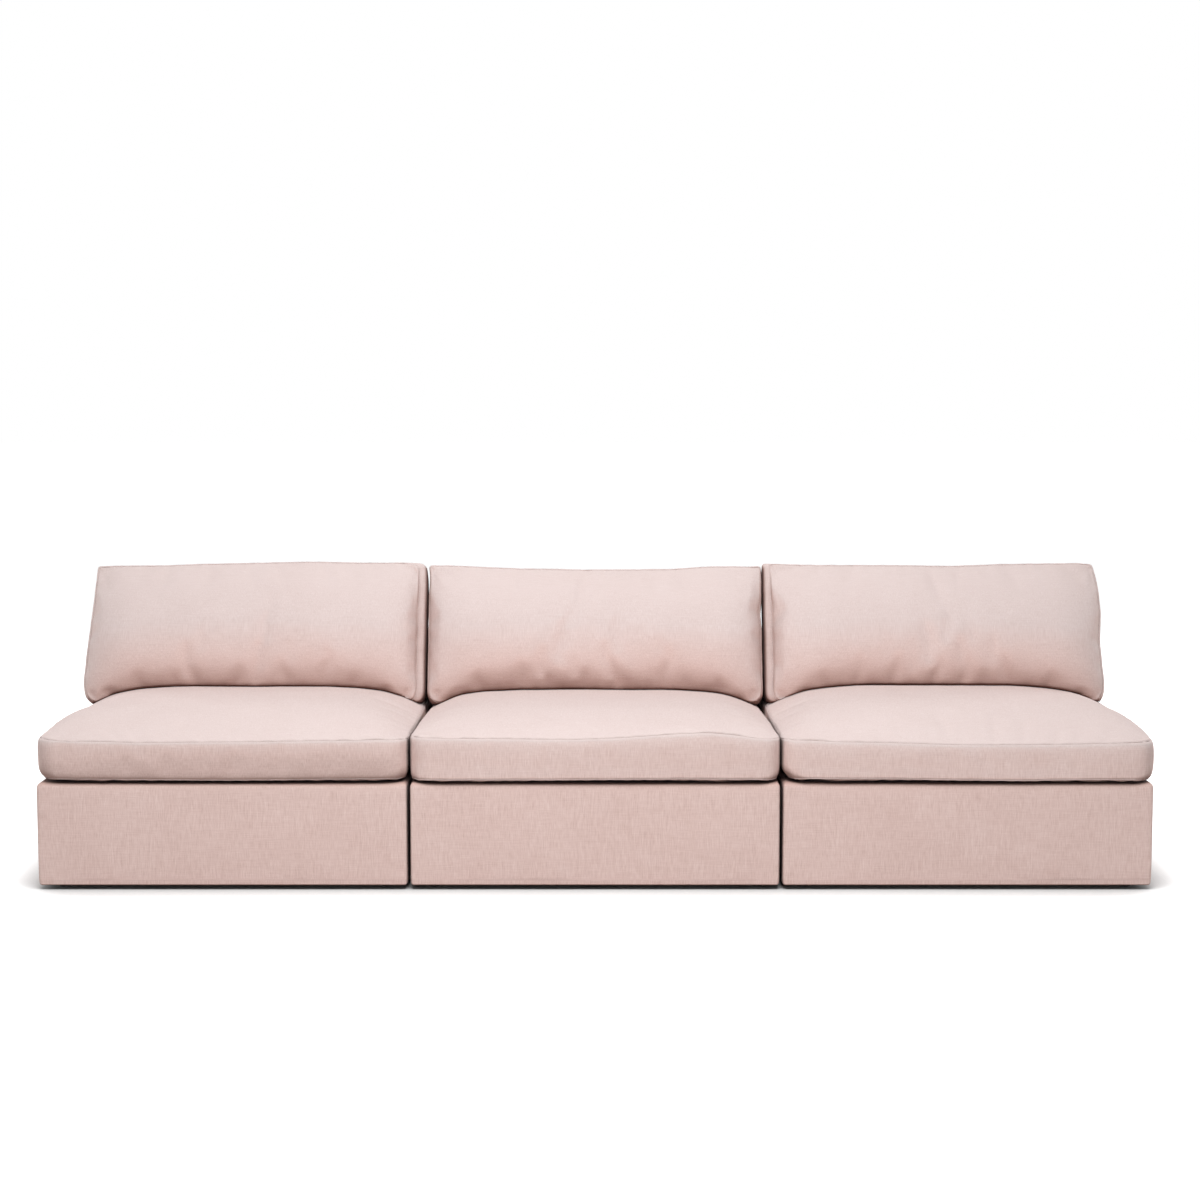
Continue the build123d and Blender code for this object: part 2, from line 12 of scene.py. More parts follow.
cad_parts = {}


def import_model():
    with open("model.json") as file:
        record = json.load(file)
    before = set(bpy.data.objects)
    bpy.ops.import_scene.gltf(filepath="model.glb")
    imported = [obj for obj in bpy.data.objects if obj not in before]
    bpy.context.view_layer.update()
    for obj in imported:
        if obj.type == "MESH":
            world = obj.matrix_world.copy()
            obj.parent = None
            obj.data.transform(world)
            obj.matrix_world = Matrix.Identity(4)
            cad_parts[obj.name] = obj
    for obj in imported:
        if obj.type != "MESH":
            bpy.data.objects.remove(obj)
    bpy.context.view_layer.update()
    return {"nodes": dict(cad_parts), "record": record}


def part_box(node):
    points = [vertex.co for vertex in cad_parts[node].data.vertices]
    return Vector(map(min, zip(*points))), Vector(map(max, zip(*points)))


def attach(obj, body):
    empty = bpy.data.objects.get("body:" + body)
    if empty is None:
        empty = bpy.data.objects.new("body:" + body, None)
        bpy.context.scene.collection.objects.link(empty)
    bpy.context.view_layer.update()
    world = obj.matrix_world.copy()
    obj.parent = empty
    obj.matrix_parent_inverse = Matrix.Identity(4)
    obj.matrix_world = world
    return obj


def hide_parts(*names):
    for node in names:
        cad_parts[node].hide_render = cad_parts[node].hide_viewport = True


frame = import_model()

# -------- sizes in metres, as in the part's source

MODULES = ("left", "middle", "right")
PITCH = 0.965
HALF_WIDTH = 0.479
FRONT = -0.4825
REAR = 0.4825
BACK_FRONT = 0.3425
DECK = 0.281
BACK_TOP = 0.575
BASE_BOTTOM = 0.012
COVER_RADIUS = 0.020
DECK_RADIUS = 0.013
UPRIGHT_RADIUS = 0.009

CUSHION_HALF_WIDTH = 0.4805
SEAT_REAR = 0.3375
SEAT_BOTTOM = 0.2813
SEAT_BOXING = 0.114
SEAT_CROWN = 0.050

BACK_HALF_HEIGHT = 0.185
BACK_BOXING = 0.175
BACK_CROWN = 0.038
BACK_FOOT = 0.425
RAKE = math.radians(18)

# centre of the back frame's rounded top edge
EDGE_Y = BACK_FRONT + COVER_RADIUS
EDGE_Z = BACK_TOP - COVER_RADIUS

# -------- sizes in metres of the cloth forms

# steps round a rounded corner, the cushions' coarse cells and the rows beside their seams
TURNS = 5
CELL = 0.015
SEAM_INSETS = (0.0, 0.003, 0.007, 0.013, 0.022, 0.033)

# how far in from a side its outline still moves a panel
SIDE_REACH = 0.13

# cloth simulation: frames, pressure, the farthest a point moves and the share that a boxing keeps
CLOTH_FRAMES = 20
CLOTH_PRESSURE = 3.0
SWELL_CAP = 0.010
BOXING_SHARE = 0.22

# clearances of a cushion
SEAT_GAP = 0.0018
FRAME_GAP = 0.0015
NEIGHBOUR_GAP = 0.0008
DECK_GAP = 0.0004

# points below the first height can rest on a seat; the second is above every seat
RESTING_HEIGHT = 0.52
ABOVE_SEATS = 0.62

# seams: depth of the upper and lower groove, their width, and the rolls sewn on
GROOVES = (0.0022, 0.0008)
GROOVE_WIDTH = 0.0035
EASING_ROUNDS = 6
LOW_ROLL = 0.0015
ROLL = 0.0011
ROLL_SIDES = 6

# zip: bare boxing at each end, pitch and sampling of the coil, its rows as (millimetres across, height share)
ZIP_INSET = 0.085
ZIP_PITCH = 0.0036
ZIP_STEP = 0.0009
COIL_ROWS = ((-2.3, 0.0), (-1.9, 0.8), (-1.1, 1.0), (-0.2, 0.5),
             (0.2, 0.5), (1.1, 1.0), (1.9, 0.8), (2.3, 0.0))
PLATE_RADIUS = 0.0018

# covers: the base's runs on under the back frame's; cells along and across each
TAIL = 0.030
BASE_CELLS = (46, 42)
BACK_CELLS = (46, 8)
SHEET_CELLS = 24
SHEET_THICKNESS = 0.0006


# -------- materials


class Graph:
    """Builds one node material."""

    def __init__(self, name):
        self.material = bpy.data.materials.new(name)
        self.material.use_nodes = True
        self.tree = self.material.node_tree
        self.tree.nodes.clear()
        self.shader = self.add("ShaderNodeBsdfPrincipled")
        self.output = self.add("ShaderNodeOutputMaterial")
        self.put(self.output.inputs[0], self.shader.outputs[0])
        self.object = self.add("ShaderNodeTexCoord").outputs["Object"]

    def add(self, kind, **settings):
        node = self.tree.nodes.new(kind)
        for key, value in settings.items():
            setattr(node, key, value)
        return node

    def put(self, socket, value):
        if isinstance(value, bpy.types.NodeSocket):
            self.tree.links.new(value, socket)
        else:
            socket.default_value = value

    def maths(self, operation, *values, clamp=False):
        node = self.add("ShaderNodeMath", operation=operation, use_clamp=clamp)
        for socket, value in zip(node.inputs, values):
            self.put(socket, value)
        return node.outputs[0]

    def plus(self, start, value, share):
        """The start and a share of the value."""
        return self.maths("ADD", start, self.maths("MULTIPLY", value, share))

    def weighted(self, first, first_share, second, second_share):
        return self.plus(self.maths("MULTIPLY", first, first_share), second, second_share)

    def level(self, value, shift, gain):
        """The shifted value times the gain, held in 0..1."""
        return self.maths("MULTIPLY", self.maths("ADD", value, shift), gain, clamp=True)

    def fed(self, node, **values):
        """The node, with its named sockets set or linked."""
        for name, value in values.items():
            self.put(node.inputs[name.replace("_", " ")], value)
        return node

    def scaled(self, vector, scale, rotation=(0, 0, 0)):
        node = self.add("ShaderNodeMapping")
        return self.fed(node, Vector=vector, Rotation=rotation, Scale=scale).outputs[0]

    def noise(self, vector, scale, detail, roughness=0.5):
        node = self.add("ShaderNodeTexNoise")
        return self.fed(node, Vector=vector, Scale=scale, Detail=detail, Roughness=roughness).outputs["Fac"]

    def ramp(self, value, stops):
        node = self.add("ShaderNodeValToRGB")
        self.put(node.inputs[0], value)
        elements = node.color_ramp.elements
        while len(elements) < len(stops):
            elements.new(0.5)
        for element, (place, colour) in zip(elements, stops):
            element.position = place
            element.color = (*colour, 1)
        return node.outputs[0]

    def mix(self, share, first, second, blend_type="MIX"):
        node = self.add("ShaderNodeMix", data_type="RGBA", blend_type=blend_type)
        self.put(node.inputs["Factor"], share)
        for socket, value in (("A", first), ("B", second)):
            self.put(node.inputs[socket], (*value, 1) if isinstance(value, tuple) else value)
        return node.outputs["Result"]

    def tinted(self, colour, tint):
        return self.mix(1.0, colour, tint, blend_type="MULTIPLY")

    def openness(self, distance, samples, normal=None):
        """1 in the open, less where other surfaces are within the distance."""
        node = self.add("ShaderNodeAmbientOcclusion", samples=samples)
        node.inputs["Distance"].default_value = distance
        if normal is not None:
            self.put(node.inputs["Normal"], normal)
        return node.outputs["AO"]

    def bump(self, height, distance, strength):
        node = self.add("ShaderNodeBump")
        return self.fed(node, Strength=strength, Distance=distance, Height=height).outputs[0]

    def finish(self, colour, roughness, normal=None, **values):
        if normal is not None:
            values["Normal"] = normal
        self.fed(self.shader, Base_Color=colour, Roughness=roughness, **values)
        return self.material


LINEN_PINK = ((0.30, (0.665, 0.462, 0.416)), (0.44, (0.752, 0.552, 0.504)), (0.56, (0.812, 0.616, 0.568)),
              (0.70, (0.880, 0.702, 0.656)))
# paler, greyer tones mixed in where the cloth faces up: painted light on top surfaces, not a colour of the
# cloth
LINEN_PAINTED_TOP_LIGHT = ((0.30, (0.636, 0.513, 0.488)), (0.44, (0.680, 0.565, 0.542)), (0.56, (0.714, 0.602, 0.581)),
              (0.70, (0.762, 0.664, 0.645)))
# multiplier for the pink where the base and back frame covers face up: painted shade on their tops
PAINTED_TOP_SHADE_TINT = (0.74, 0.70, 0.68)
# multiplier where the cloth faces down: painted shade on undersides
PAINTED_UNDERSIDE_SHADE = (0.55, 0.47, 0.44)
# multiplier where other surfaces come within a given reach: painted shade near other parts
PAINTED_SHELTER_SHADE = (0.52, 0.42, 0.39)
# reach of the darkening in crevices, whose tint is the depth argument: painted crevice shade
PAINTED_CREVICE_SHADE_REACH = 0.015


def shaded(stops, shade):
    return [(place, tuple(shade * part for part in tone)) for place, tone in stops]


def linen(name, shade=1.0, lean=0.0, painted_shelter_reach=0.0, painted_light_level=(0.07, 2.2), painted_top_shade=False, depth=(0.05, 0.025, 0.02)):
    """Heathered weave of several pinks, with painted light that makes it paler where it faces up (painted
    shade that darkens it there instead on the base covers), and painted shade where it faces down, in
    crevices and, where a reach is given, near other surfaces.
    """
    graph = Graph(name)
    place = graph.scaled(graph.object, (1, 1, 1), (lean, 0, 0))
    normal = graph.add("ShaderNodeNewGeometry").outputs["Normal"]
    split = graph.add("ShaderNodeSeparateXYZ")
    graph.put(split.inputs[0], normal)
    facing_up = split.outputs[2]
    lying = graph.level(graph.maths("ABSOLUTE", facing_up), -0.55, 4.0)

    def slubs(across, along):
        on_walls = graph.noise(graph.scaled(place, (across, across, along)), 1, 2, 0.6)
        on_tops = graph.noise(graph.scaled(place, (across, along, across)), 1, 2, 0.6)
        return graph.mix(lying, on_walls, on_tops)

    warp, weft = slubs(760, 38), slubs(30, 800)
    mottle = graph.noise(place, 9, 3, 0.5)
    heather = graph.weighted(warp, 0.68, weft, 0.32)
    heather = graph.plus(heather, graph.maths("SUBTRACT", mottle, 0.5), 0.12)
    pink = graph.ramp(heather, shaded(LINEN_PINK, shade))
    # painted light: the paler ramp is mixed in where the cloth faces up, by the level of facing_up; on the
    # base covers it is painted shade instead, the pink darkened there
    top = graph.tinted(pink, PAINTED_TOP_SHADE_TINT) if painted_top_shade else graph.ramp(heather, shaded(LINEN_PAINTED_TOP_LIGHT, shade))
    colour = graph.mix(graph.level(facing_up, *painted_light_level), pink, top)
    # painted shade: darker where the cloth faces down
    painted_shade_below = graph.maths("MULTIPLY", graph.level(facing_up, 0.05, -3.0), 0.9)
    colour = graph.mix(painted_shade_below, colour, graph.tinted(colour, PAINTED_UNDERSIDE_SHADE))
    # painted shade in crevices: ambient occlusion darkens the colour by the depth tint
    colour = graph.mix(graph.openness(PAINTED_CREVICE_SHADE_REACH, 6, normal), graph.tinted(colour, depth), colour)
    # painted shade near other surfaces, within the given reach
    if painted_shelter_reach:
        colour = graph.mix(graph.openness(painted_shelter_reach, 6, normal), graph.tinted(colour, PAINTED_SHELTER_SHADE), colour)
    bump = graph.bump(graph.maths("ADD", warp, weft), 0.0008, 0.5)
    return graph.finish(colour, graph.plus(0.84, mottle, 0.12), bump, Sheen_Weight=0.09, Sheen_Roughness=0.5,
                        Sheen_Tint=(1.0, 0.85, 0.82, 1.0), Specular_IOR_Level=0.04)


def timber(name):
    """Pale sawn softwood with long grain."""
    graph = Graph(name)
    grain = graph.noise(graph.scaled(graph.object, (3, 60, 60)), 1.6, 4, 0.6)
    pores = graph.noise(graph.scaled(graph.object, (14, 300, 300)), 1.5, 2, 0.5)
    fibre = graph.weighted(grain, 0.75, pores, 0.25)
    colour = graph.ramp(fibre, ((0.30, (0.46, 0.29, 0.15)), (0.50, (0.66, 0.47, 0.28)),
                                (0.72, (0.76, 0.59, 0.39))))
    return graph.finish(colour, graph.plus(0.55, pores, 0.25), graph.bump(fibre, 0.0006, 0.5))


def ribbed(name, dark, light, scale):
    """Woven elastic tape with ribs across it."""
    graph = Graph(name)
    ribs = graph.noise(graph.scaled(graph.object, (scale, scale, 60)), 1, 1, 0.4)
    both = graph.weighted(ribs, 0.7, graph.noise(graph.object, 900, 2, 0.6), 0.3)
    colour = graph.ramp(both, ((0.35, dark), (0.65, light)))
    return graph.finish(colour, 0.8, graph.bump(both, 0.0006, 0.6), Sheen_Weight=0.1)


def speckled(name, dark, light, scale, roughness, distance, **constants):
    """Fibrous, foamed or moulded surface: two tones in soft specks."""
    graph = Graph(name)
    specks = graph.noise(graph.object, scale, 3, 0.6)
    blotches = graph.noise(graph.object, scale / 12, 2, 0.5)
    colour = graph.ramp(graph.weighted(specks, 0.7, blotches, 0.3), ((0.34, dark), (0.66, light)))
    return graph.finish(colour, graph.plus(roughness, specks, 0.1), graph.bump(specks, distance, 0.6),
                        **constants)


def brushed(name):
    """Zinc-plated steel with a fine brushed grain."""
    graph = Graph(name)
    lines = graph.noise(graph.scaled(graph.object, (40, 900, 900)), 1, 3, 0.6)
    colour = graph.ramp(lines, ((0.35, (0.46, 0.47, 0.48)), (0.65, (0.66, 0.67, 0.68))))
    return graph.finish(colour, graph.plus(0.28, lines, 0.2), graph.bump(lines, 0.0002, 0.4), Metallic=1.0)


LINEN = linen("linen_cover")
# base and back frame covers: painted shade on their tops and within 3 cm of other surfaces
LINEN_BASE = linen("linen_base", painted_shelter_reach=0.030, painted_light_level=(-0.05, 1.3), painted_top_shade=True)
# back cushions: a 2.5 % darker copy of the linen (painted shade), painted light on top reaching further down,
# painted shade within 10 cm of other surfaces, milder painted crevice shade
LINEN_BACK = linen("linen_back", shade=0.975, lean=RAKE, painted_shelter_reach=0.10, painted_light_level=(0.14, 1.9),
                   depth=(0.40, 0.28, 0.25))
LINEN_SEAM = linen("linen_seam")
FINISHES = {
    "linen": LINEN,
    "timber": timber("sawn_timber"),
    "webbing": ribbed("elastic_webbing", (0.018, 0.018, 0.020), (0.060, 0.060, 0.064), 420),
    "foam": speckled("open_foam", (0.70, 0.64, 0.46), (0.86, 0.82, 0.68), 700, 0.85, 0.0006),
    "pad_felt": speckled("needled_felt", (0.42, 0.41, 0.38), (0.66, 0.64, 0.60), 420, 0.86, 0.0008,
                         Sheen_Weight=0.15),
    "black_cloth": speckled("bonded_cloth", (0.010, 0.010, 0.011), (0.030, 0.030, 0.031), 600, 0.85, 0.0003),
    "glide_nylon": speckled("moulded_nylon", (0.012, 0.012, 0.013), (0.026, 0.026, 0.027), 260, 0.38, 0.0002),
    "steel": brushed("plated_steel"),
}
ZIP_TAPE = ribbed("zip_tape", (0.46, 0.31, 0.28), (0.62, 0.45, 0.41), 900)
ZIP_COIL = speckled("zip_coil", (0.50, 0.34, 0.30), (0.64, 0.47, 0.43), 500, 0.42, 0.0001)


# -------- mesh helpers


def ring(half_u, half_v, radii, inset, cells_u, cells_v):
    """Closed row of (u, v, outward u, outward v) round a rectangle with rounded corners, drawn in."""
    arcs = []
    for index, (side_u, side_v) in enumerate(((1, 1), (-1, 1), (-1, -1), (1, -1))):
        reach = max(radii[index], inset)
        bend = max(radii[index] - inset, 0.0)
        middle = (side_u * (half_u - reach), side_v * (half_v - reach))
        arc = []
        for turn in range(TURNS + 1):
            angle = math.radians(90 * (index + turn / TURNS))
            out = (math.cos(angle), math.sin(angle))
            arc.append((middle[0] + bend * out[0], middle[1] + bend * out[1], *out))
        arcs.append(arc)
    row = []
    for index, arc in enumerate(arcs):
        row += arc
        start, end = arc[-1], arcs[(index + 1) % 4][0]
        cells = cells_u if index % 2 == 0 else cells_v
        for cell in range(1, cells):
            share = cell / cells
            u, v = (start[axis] + (end[axis] - start[axis]) * share for axis in range(2))
            row.append((u, v, *start[2:]))
    return row


class Patch:
    """Collects vertices by their place on the flat pattern, so that rows which meet share them."""

    def __init__(self):
        self.keys, self.lay, self.out, self.faces = {}, [], [], []

    def vertex(self, u, v, rise, out):
        key = (round(u, 6), round(v, 6), round(rise, 6))
        if key not in self.keys:
            self.keys[key] = len(self.lay)
            self.lay.append((u, v, rise))
            self.out.append(out)
        return self.keys[key]

    def row(self, points, rise):
        return [self.vertex(u, v, rise, (out_u, out_v)) for u, v, out_u, out_v in points]

    def face(self, *corners):
        kept = [corner for index, corner in enumerate(corners) if corner != corners[index - 1]]
        if len(set(kept)) >= 3:
            self.faces.append(tuple(kept))

    def bands(self, rows):
        """Faces between each row and the next."""
        for low, high in zip(rows, rows[1:]):
            for index in range(len(low)):
                self.face(low[index - 1], low[index], high[index], high[index - 1])

    def panel(self, half_u, half_v, cells_u, cells_v, rise_of, upward=True):
        us = np.linspace(-half_u, half_u, cells_u + 1)
        vs = np.linspace(-half_v, half_v, cells_v + 1)
        grid = [[self.vertex(u, v, rise_of(u, v), (0.0, 0.0)) for v in vs] for u in us]
        for i in range(cells_u):
            for j in range(cells_v):
                corners = (grid[i][j], grid[i + 1][j], grid[i + 1][j + 1], grid[i][j + 1])
                self.face(*(corners if upward else corners[::-1]))


def box_patch(half_u, half_v, radii_at, levels, cells, top_radius):
    """Box open at the bottom: rows at (inset, height) levels, and a panel on the last one."""
    patch = Patch()
    patch.bands([patch.row(ring(half_u, half_v, radii_at(z), inset, *cells), z) for inset, z in levels])
    top = levels[-1][1]
    patch.panel(half_u - top_radius, half_v - top_radius, *cells, lambda u, v: top)
    return patch


def mesh_object(name, points, faces, material, smooth=True):
    mesh = bpy.data.meshes.new(name)
    mesh.from_pydata([tuple(point) for point in points], [], faces)
    mesh.materials.append(material)
    mesh.polygons.foreach_set("use_smooth", [smooth] * len(mesh.polygons))
    mesh.update()
    piece = bpy.data.objects.new(name, mesh)
    bpy.context.scene.collection.objects.link(piece)
    return piece


def grid_object(name, rows, material):
    """Open strip through rows of equally many points."""
    rows = np.asarray(rows)
    count, width = rows.shape[:2]
    faces = [(i * width + j, (i + 1) * width + j, (i + 1) * width + j + 1, i * width + j + 1)
             for i in range(count - 1) for j in range(width - 1)]
    return mesh_object(name, rows.reshape(-1, 3), faces, material)


def vectors(items, key):
    values = np.empty(len(items) * 3)
    items.foreach_get(key, values)
    return values.reshape(-1, 3)


def coordinates(mesh):
    return vectors(mesh.vertices, "co")


def normals(mesh):
    return vectors(mesh.vertices, "normal")


def stored(mesh, name):
    return vectors(mesh.attributes[name].data, "vector")


def store(mesh, name, values):
    attribute = mesh.attributes.new(name, "FLOAT_VECTOR", "POINT")
    attribute.data.foreach_set("vector", np.asarray(values, dtype=np.float64).ravel())


def move_to(mesh, points):
    mesh.vertices.foreach_set("co", np.asarray(points, dtype=np.float64).ravel())
    mesh.update()


def subdivide(piece):
    """Replace the piece's mesh by its smooth subdivision."""
    modifier = piece.modifiers.new("fine", "SUBSURF")
    modifier.levels = modifier.render_levels = 1
    evaluated = piece.evaluated_get(bpy.context.evaluated_depsgraph_get())
    fine = bpy.data.meshes.new_from_object(evaluated)
    piece.modifiers.remove(modifier)
    piece.data = fine


def waves(points, seed, size):
    """Smooth noise in -1..1 at points, in patches of about the given size."""
    shift = Vector((seed * 7.31, seed * 3.17, seed * 5.77))
    return np.array([noise(Vector(point) / size + shift) for point in points])


def tube(name, path, radius, material):
    """Closed thin roll along a closed path."""
    path = np.asarray(path)
    ahead = np.roll(path, -1, axis=0) - np.roll(path, 1, axis=0)
    ahead /= np.linalg.norm(ahead, axis=1)[:, None]
    out = path - path.mean(axis=0)
    out -= ahead * (out * ahead).sum(axis=1)[:, None]
    out /= np.linalg.norm(out, axis=1)[:, None]
    up = np.cross(ahead, out)
    points, faces = [], []
    for index in range(len(path)):
        here, following = index * ROLL_SIDES, ((index + 1) % len(path)) * ROLL_SIDES
        for side in range(ROLL_SIDES):
            angle = 2 * math.pi * side / ROLL_SIDES
            points.append(path[index] + radius * (math.cos(angle) * out[index] + math.sin(angle) * up[index]))
            other = (side + 1) % ROLL_SIDES
            faces.append((here + side, following + side, following + other, here + other))
    return mesh_object(name, points, faces, material)


def module_x(module):
    return (MODULES.index(module) - 1) * PITCH


# -------- cushions


def boxing_rows(height):
    """Heights of the rows up a boxing, closest beside its two seams."""
    near = list(SEAM_INSETS[1:5])
    cells = max(2, round((height - 2 * near[-1]) / CELL))
    middle = list(np.linspace(near[-1], height - near[-1], cells + 1))[1:-1]
    return near + middle + [height - inset for inset in reversed(near)]


def boxed_pattern(half_u, half_v, height, radii):
    """Pattern of a boxed cushion: lower panel, boxing, upper panel; also the rows of its two seams."""
    patch = Patch()
    widest = max(radii)
    inner_u, inner_v = half_u - widest, half_v - widest
    cells_u, cells_v = round(2 * inner_u / CELL), round(2 * inner_v / CELL)
    insets = [inset for inset in SEAM_INSETS if inset < widest - 0.004] + [widest]

    def row(inset, rise):
        return patch.row(ring(half_u, half_v, radii, inset, cells_u, cells_v), rise)

    def depth(u, v):
        return min(half_u - abs(u), half_v - abs(v))

    rows = [row(inset, -inset) for inset in reversed(insets)]
    low_seam = rows[-1]
    rows += [row(0.0, rise) for rise in boxing_rows(height)]
    rows += [row(inset, height + inset) for inset in insets]
    high_seam = rows[-len(insets)]
    patch.bands(rows)
    patch.panel(inner_u, inner_v, cells_u, cells_v, lambda u, v: height + depth(u, v))
    patch.panel(inner_u, inner_v, cells_u, cells_v, lambda u, v: -depth(u, v), upward=False)
    return patch, low_seam, high_seam


def swell(depth, reach, fullness=1.0):
    """Share of a crown's height at a depth from the seam: steep at the seam, level beyond the reach."""
    near = np.clip(1 - depth / reach, 0, 1)
    return (1 - near**2) ** fullness


def fade(depth, reach):
    """1 at an edge, smoothly 0 at a depth of the reach."""
    near = np.clip(1 - depth / reach, 0, 1)
    return near * near * (3 - 2 * near)


def profile(share, knots):
    """Smooth line in metres through (share -1..1, millimetres) pairs."""
    if not knots:
        return np.zeros_like(share)
    shares = np.linspace(-1, 1, 81)
    line = np.interp(shares, [knot[0] for knot in knots], [knot[1] for knot in knots])
    kernel = np.hanning(9)
    line = np.convolve(np.pad(line, 4, mode="edge"), kernel / kernel.sum(), mode="valid")
    return np.interp(share, shares, line) / 1000


def rest_form(lay, half_u, half_v, height, look):
    """Sewn shape of a boxed cushion that lies on its lower panel, before it is blown up."""
    u, v, rise = lay.T
    left, right, low, high = half_u + u, half_u - u, half_v + v, half_v - v
    along_u, along_v = u / half_u, v / half_v
    share = np.clip(rise / height, 0, 1)
    upper, lower = rise >= height, rise <= 0
    bulge = look["bulge"] * (1 - np.abs(2 * share - 1) ** look["flat"])
    wrapped = np.abs(2 * share - 1) ** 24
    under_turn = np.clip(1 - share / 0.32, 0, 1) ** 2
    out_u = bulge - look["waist"] * (1 - along_v**2)
    out_v = bulge - look["tuck"][2] * under_turn - look["waist"] * (1 - along_u**2)
    pressed = 0.8 * (look["bulge"] - bulge) + 0.8 * look["waist"] * (1 - along_v**2)

    def sideward(side, key):
        drawn = look["tuck"][side] * under_turn + look["taper"][side] * (1 - share)
        drawn += look["wrap"][side] * wrapped
        return out_u + profile(along_v, look.get(key)) + pressed * look["pressed"][side] - drawn

    lowward = out_v + profile(along_u, look.get("low")) + look["tilt"] * share
    highward = out_v + profile(along_u, look.get("high"))
    x = u - fade(left, SIDE_REACH) * sideward(0, "left") + fade(right, SIDE_REACH) * sideward(1, "right")
    y = v - fade(low, SIDE_REACH) * lowward + fade(high, SIDE_REACH) * highward
    reach = look["reach"]
    full = look["fullness"]
    crown = swell(left, reach[0], full[0]) * swell(right, reach[0], full[0])
    crown *= swell(low, reach[1], full[1]) * swell(high, reach[2], full[2])
    rim = look["rim"]
    under = 1 - swell(left, 0.05) * swell(right, 0.05) * swell(low, 0.05) * swell(high, 0.05)
    rear = swell(left, 0.14) * swell(right, 0.14) * swell(low, 0.12) * swell(high, 0.16)
    bottom = rim * under - look["rear_crown"] * rear
    top = height + look["crown"] * crown
    z = np.where(upper, top, np.where(lower, bottom, rim + rise * (1 - rim / height)))
    near_low = np.clip(1 - low / (1.1 * half_v), 0, 1) ** 2
    high_share = np.where(upper, np.clip(1 - (rise - height) / 0.16, 0, 1) ** 2, share**1.5)
    z += near_low * high_share * profile(along_u, look.get("seam"))
    sagging = np.where(upper, 1.0, share**1.5)
    for inward, line in zip((left, right), look["shoulders"]):
        z -= sagging * fade(inward, 0.085) * profile(along_v, line)
    low_share = np.where(lower, np.clip(1 + rise / 0.03, 0, 1), (1 - share) ** 1.5)
    z += near_low * low_share * profile(along_u, look.get("hem"))
    drop = look.get("drop", 0.0) * fade(low, 0.10) * np.where(upper, 1.0, share)
    y -= drop + fade(low, SIDE_REACH) * profile(along_u, look.get("foot"))
    return np.stack([x, y, z], axis=1)


def blow_up(pieces, pins):
    """Cloth simulation of all cushions at once: the seams hold, the panels between them swell."""
    scene = bpy.context.scene
    boxings = []
    for piece in pieces:
        rise = stored(piece.data, "lay")[:, 2]
        boxings.append((rise > 0) & (rise < piece["boxing"]))
    starts = [coordinates(piece.data) for piece in pieces]
    for piece, pin in zip(pieces, pins):
        group = piece.vertex_groups.new(name="sewn")
        group.add([int(index) for index in pin], 1.0, "REPLACE")
        cloth = piece.modifiers.new("swell", "CLOTH")
        settings = cloth.settings
        settings.quality = 5
        settings.mass = 0.25
        settings.tension_stiffness = settings.compression_stiffness = 22
        settings.shear_stiffness = 8
        settings.bending_stiffness = 1.5
        settings.use_pressure = True
        settings.uniform_pressure_force = CLOTH_PRESSURE
        settings.vertex_group_mass = "sewn"
        settings.shrink_min = -0.012
        settings.effector_weights.gravity = 0
        cloth.point_cache.frame_start = 1
        cloth.point_cache.frame_end = CLOTH_FRAMES
    for step in range(1, CLOTH_FRAMES + 1):
        scene.frame_set(step)
    graph = bpy.context.evaluated_depsgraph_get()
    for piece, start, boxing in zip(pieces, starts, boxings):
        evaluated = piece.evaluated_get(graph)
        shift = coordinates(evaluated.to_mesh()) - start
        evaluated.to_mesh_clear()
        length = np.linalg.norm(shift, axis=1)
        if not np.isfinite(length).all():
            shift[:] = 0
            length[:] = 0
        limit = SWELL_CAP * np.tanh(length / SWELL_CAP)
        shift *= (limit / np.maximum(length, 1e-9))[:, None]
        shift[boxing] *= BOXING_SHARE
        piece.modifiers.clear()
        piece.vertex_groups.clear()
        move_to(piece.data, start + shift)
    scene.frame_set(1)


def corner_folds(lay, half_u, half_v, height, seed, depths):
    """Short folds that fan out from the pattern's corners, deepest close to the corner."""
    u, v, rise = lay.T
    folds = np.zeros(len(lay))
    for index, (side_u, side_v) in enumerate(((-1, -1), (1, -1), (1, 1), (-1, 1))):
        du, dv = half_u - side_u * u, half_v - side_v * v
        across = np.where(rise > height * 0.5, np.abs(rise - height), np.abs(rise))
        near = np.sqrt(du**2 + dv**2 + np.where((rise > 0) & (rise < height), across, 0) ** 2)
        turn = np.arctan2(dv, du + 1e-6)
        fan = np.sin(turn * 11 + 1.9 * np.sin(turn * 5 + seed + index) + seed * 1.7 + index * 2.3)
        grow = np.clip(near / 0.012, 0, 1)
        folds += depths[index] * fan * grow * np.exp(-near / 0.034)
    return folds


def ease_poles(mesh, half_u, half_v, widest):
    """Smooth the panels where the rows round a rounded corner run into one point."""
    points = coordinates(mesh)
    u, v, _ = stored(mesh, "lay").T
    away = np.hypot(np.abs(u) - (half_u - widest), np.abs(v) - (half_v - widest))
    eased = fade(away, 0.030)[:, None] * 0.7
    ends = np.empty(len(mesh.edges) * 2, dtype=np.int32)
    mesh.edges.foreach_get("vertices", ends)
    first, second = ends.reshape(-1, 2).T
    count = np.bincount(ends, minlength=len(points))[:, None]
    for _ in range(EASING_ROUNDS):
        total = np.zeros_like(points)
        np.add.at(total, first, points[second])
        np.add.at(total, second, points[first])
        points += eased * (total / count - points)
    move_to(mesh, points)


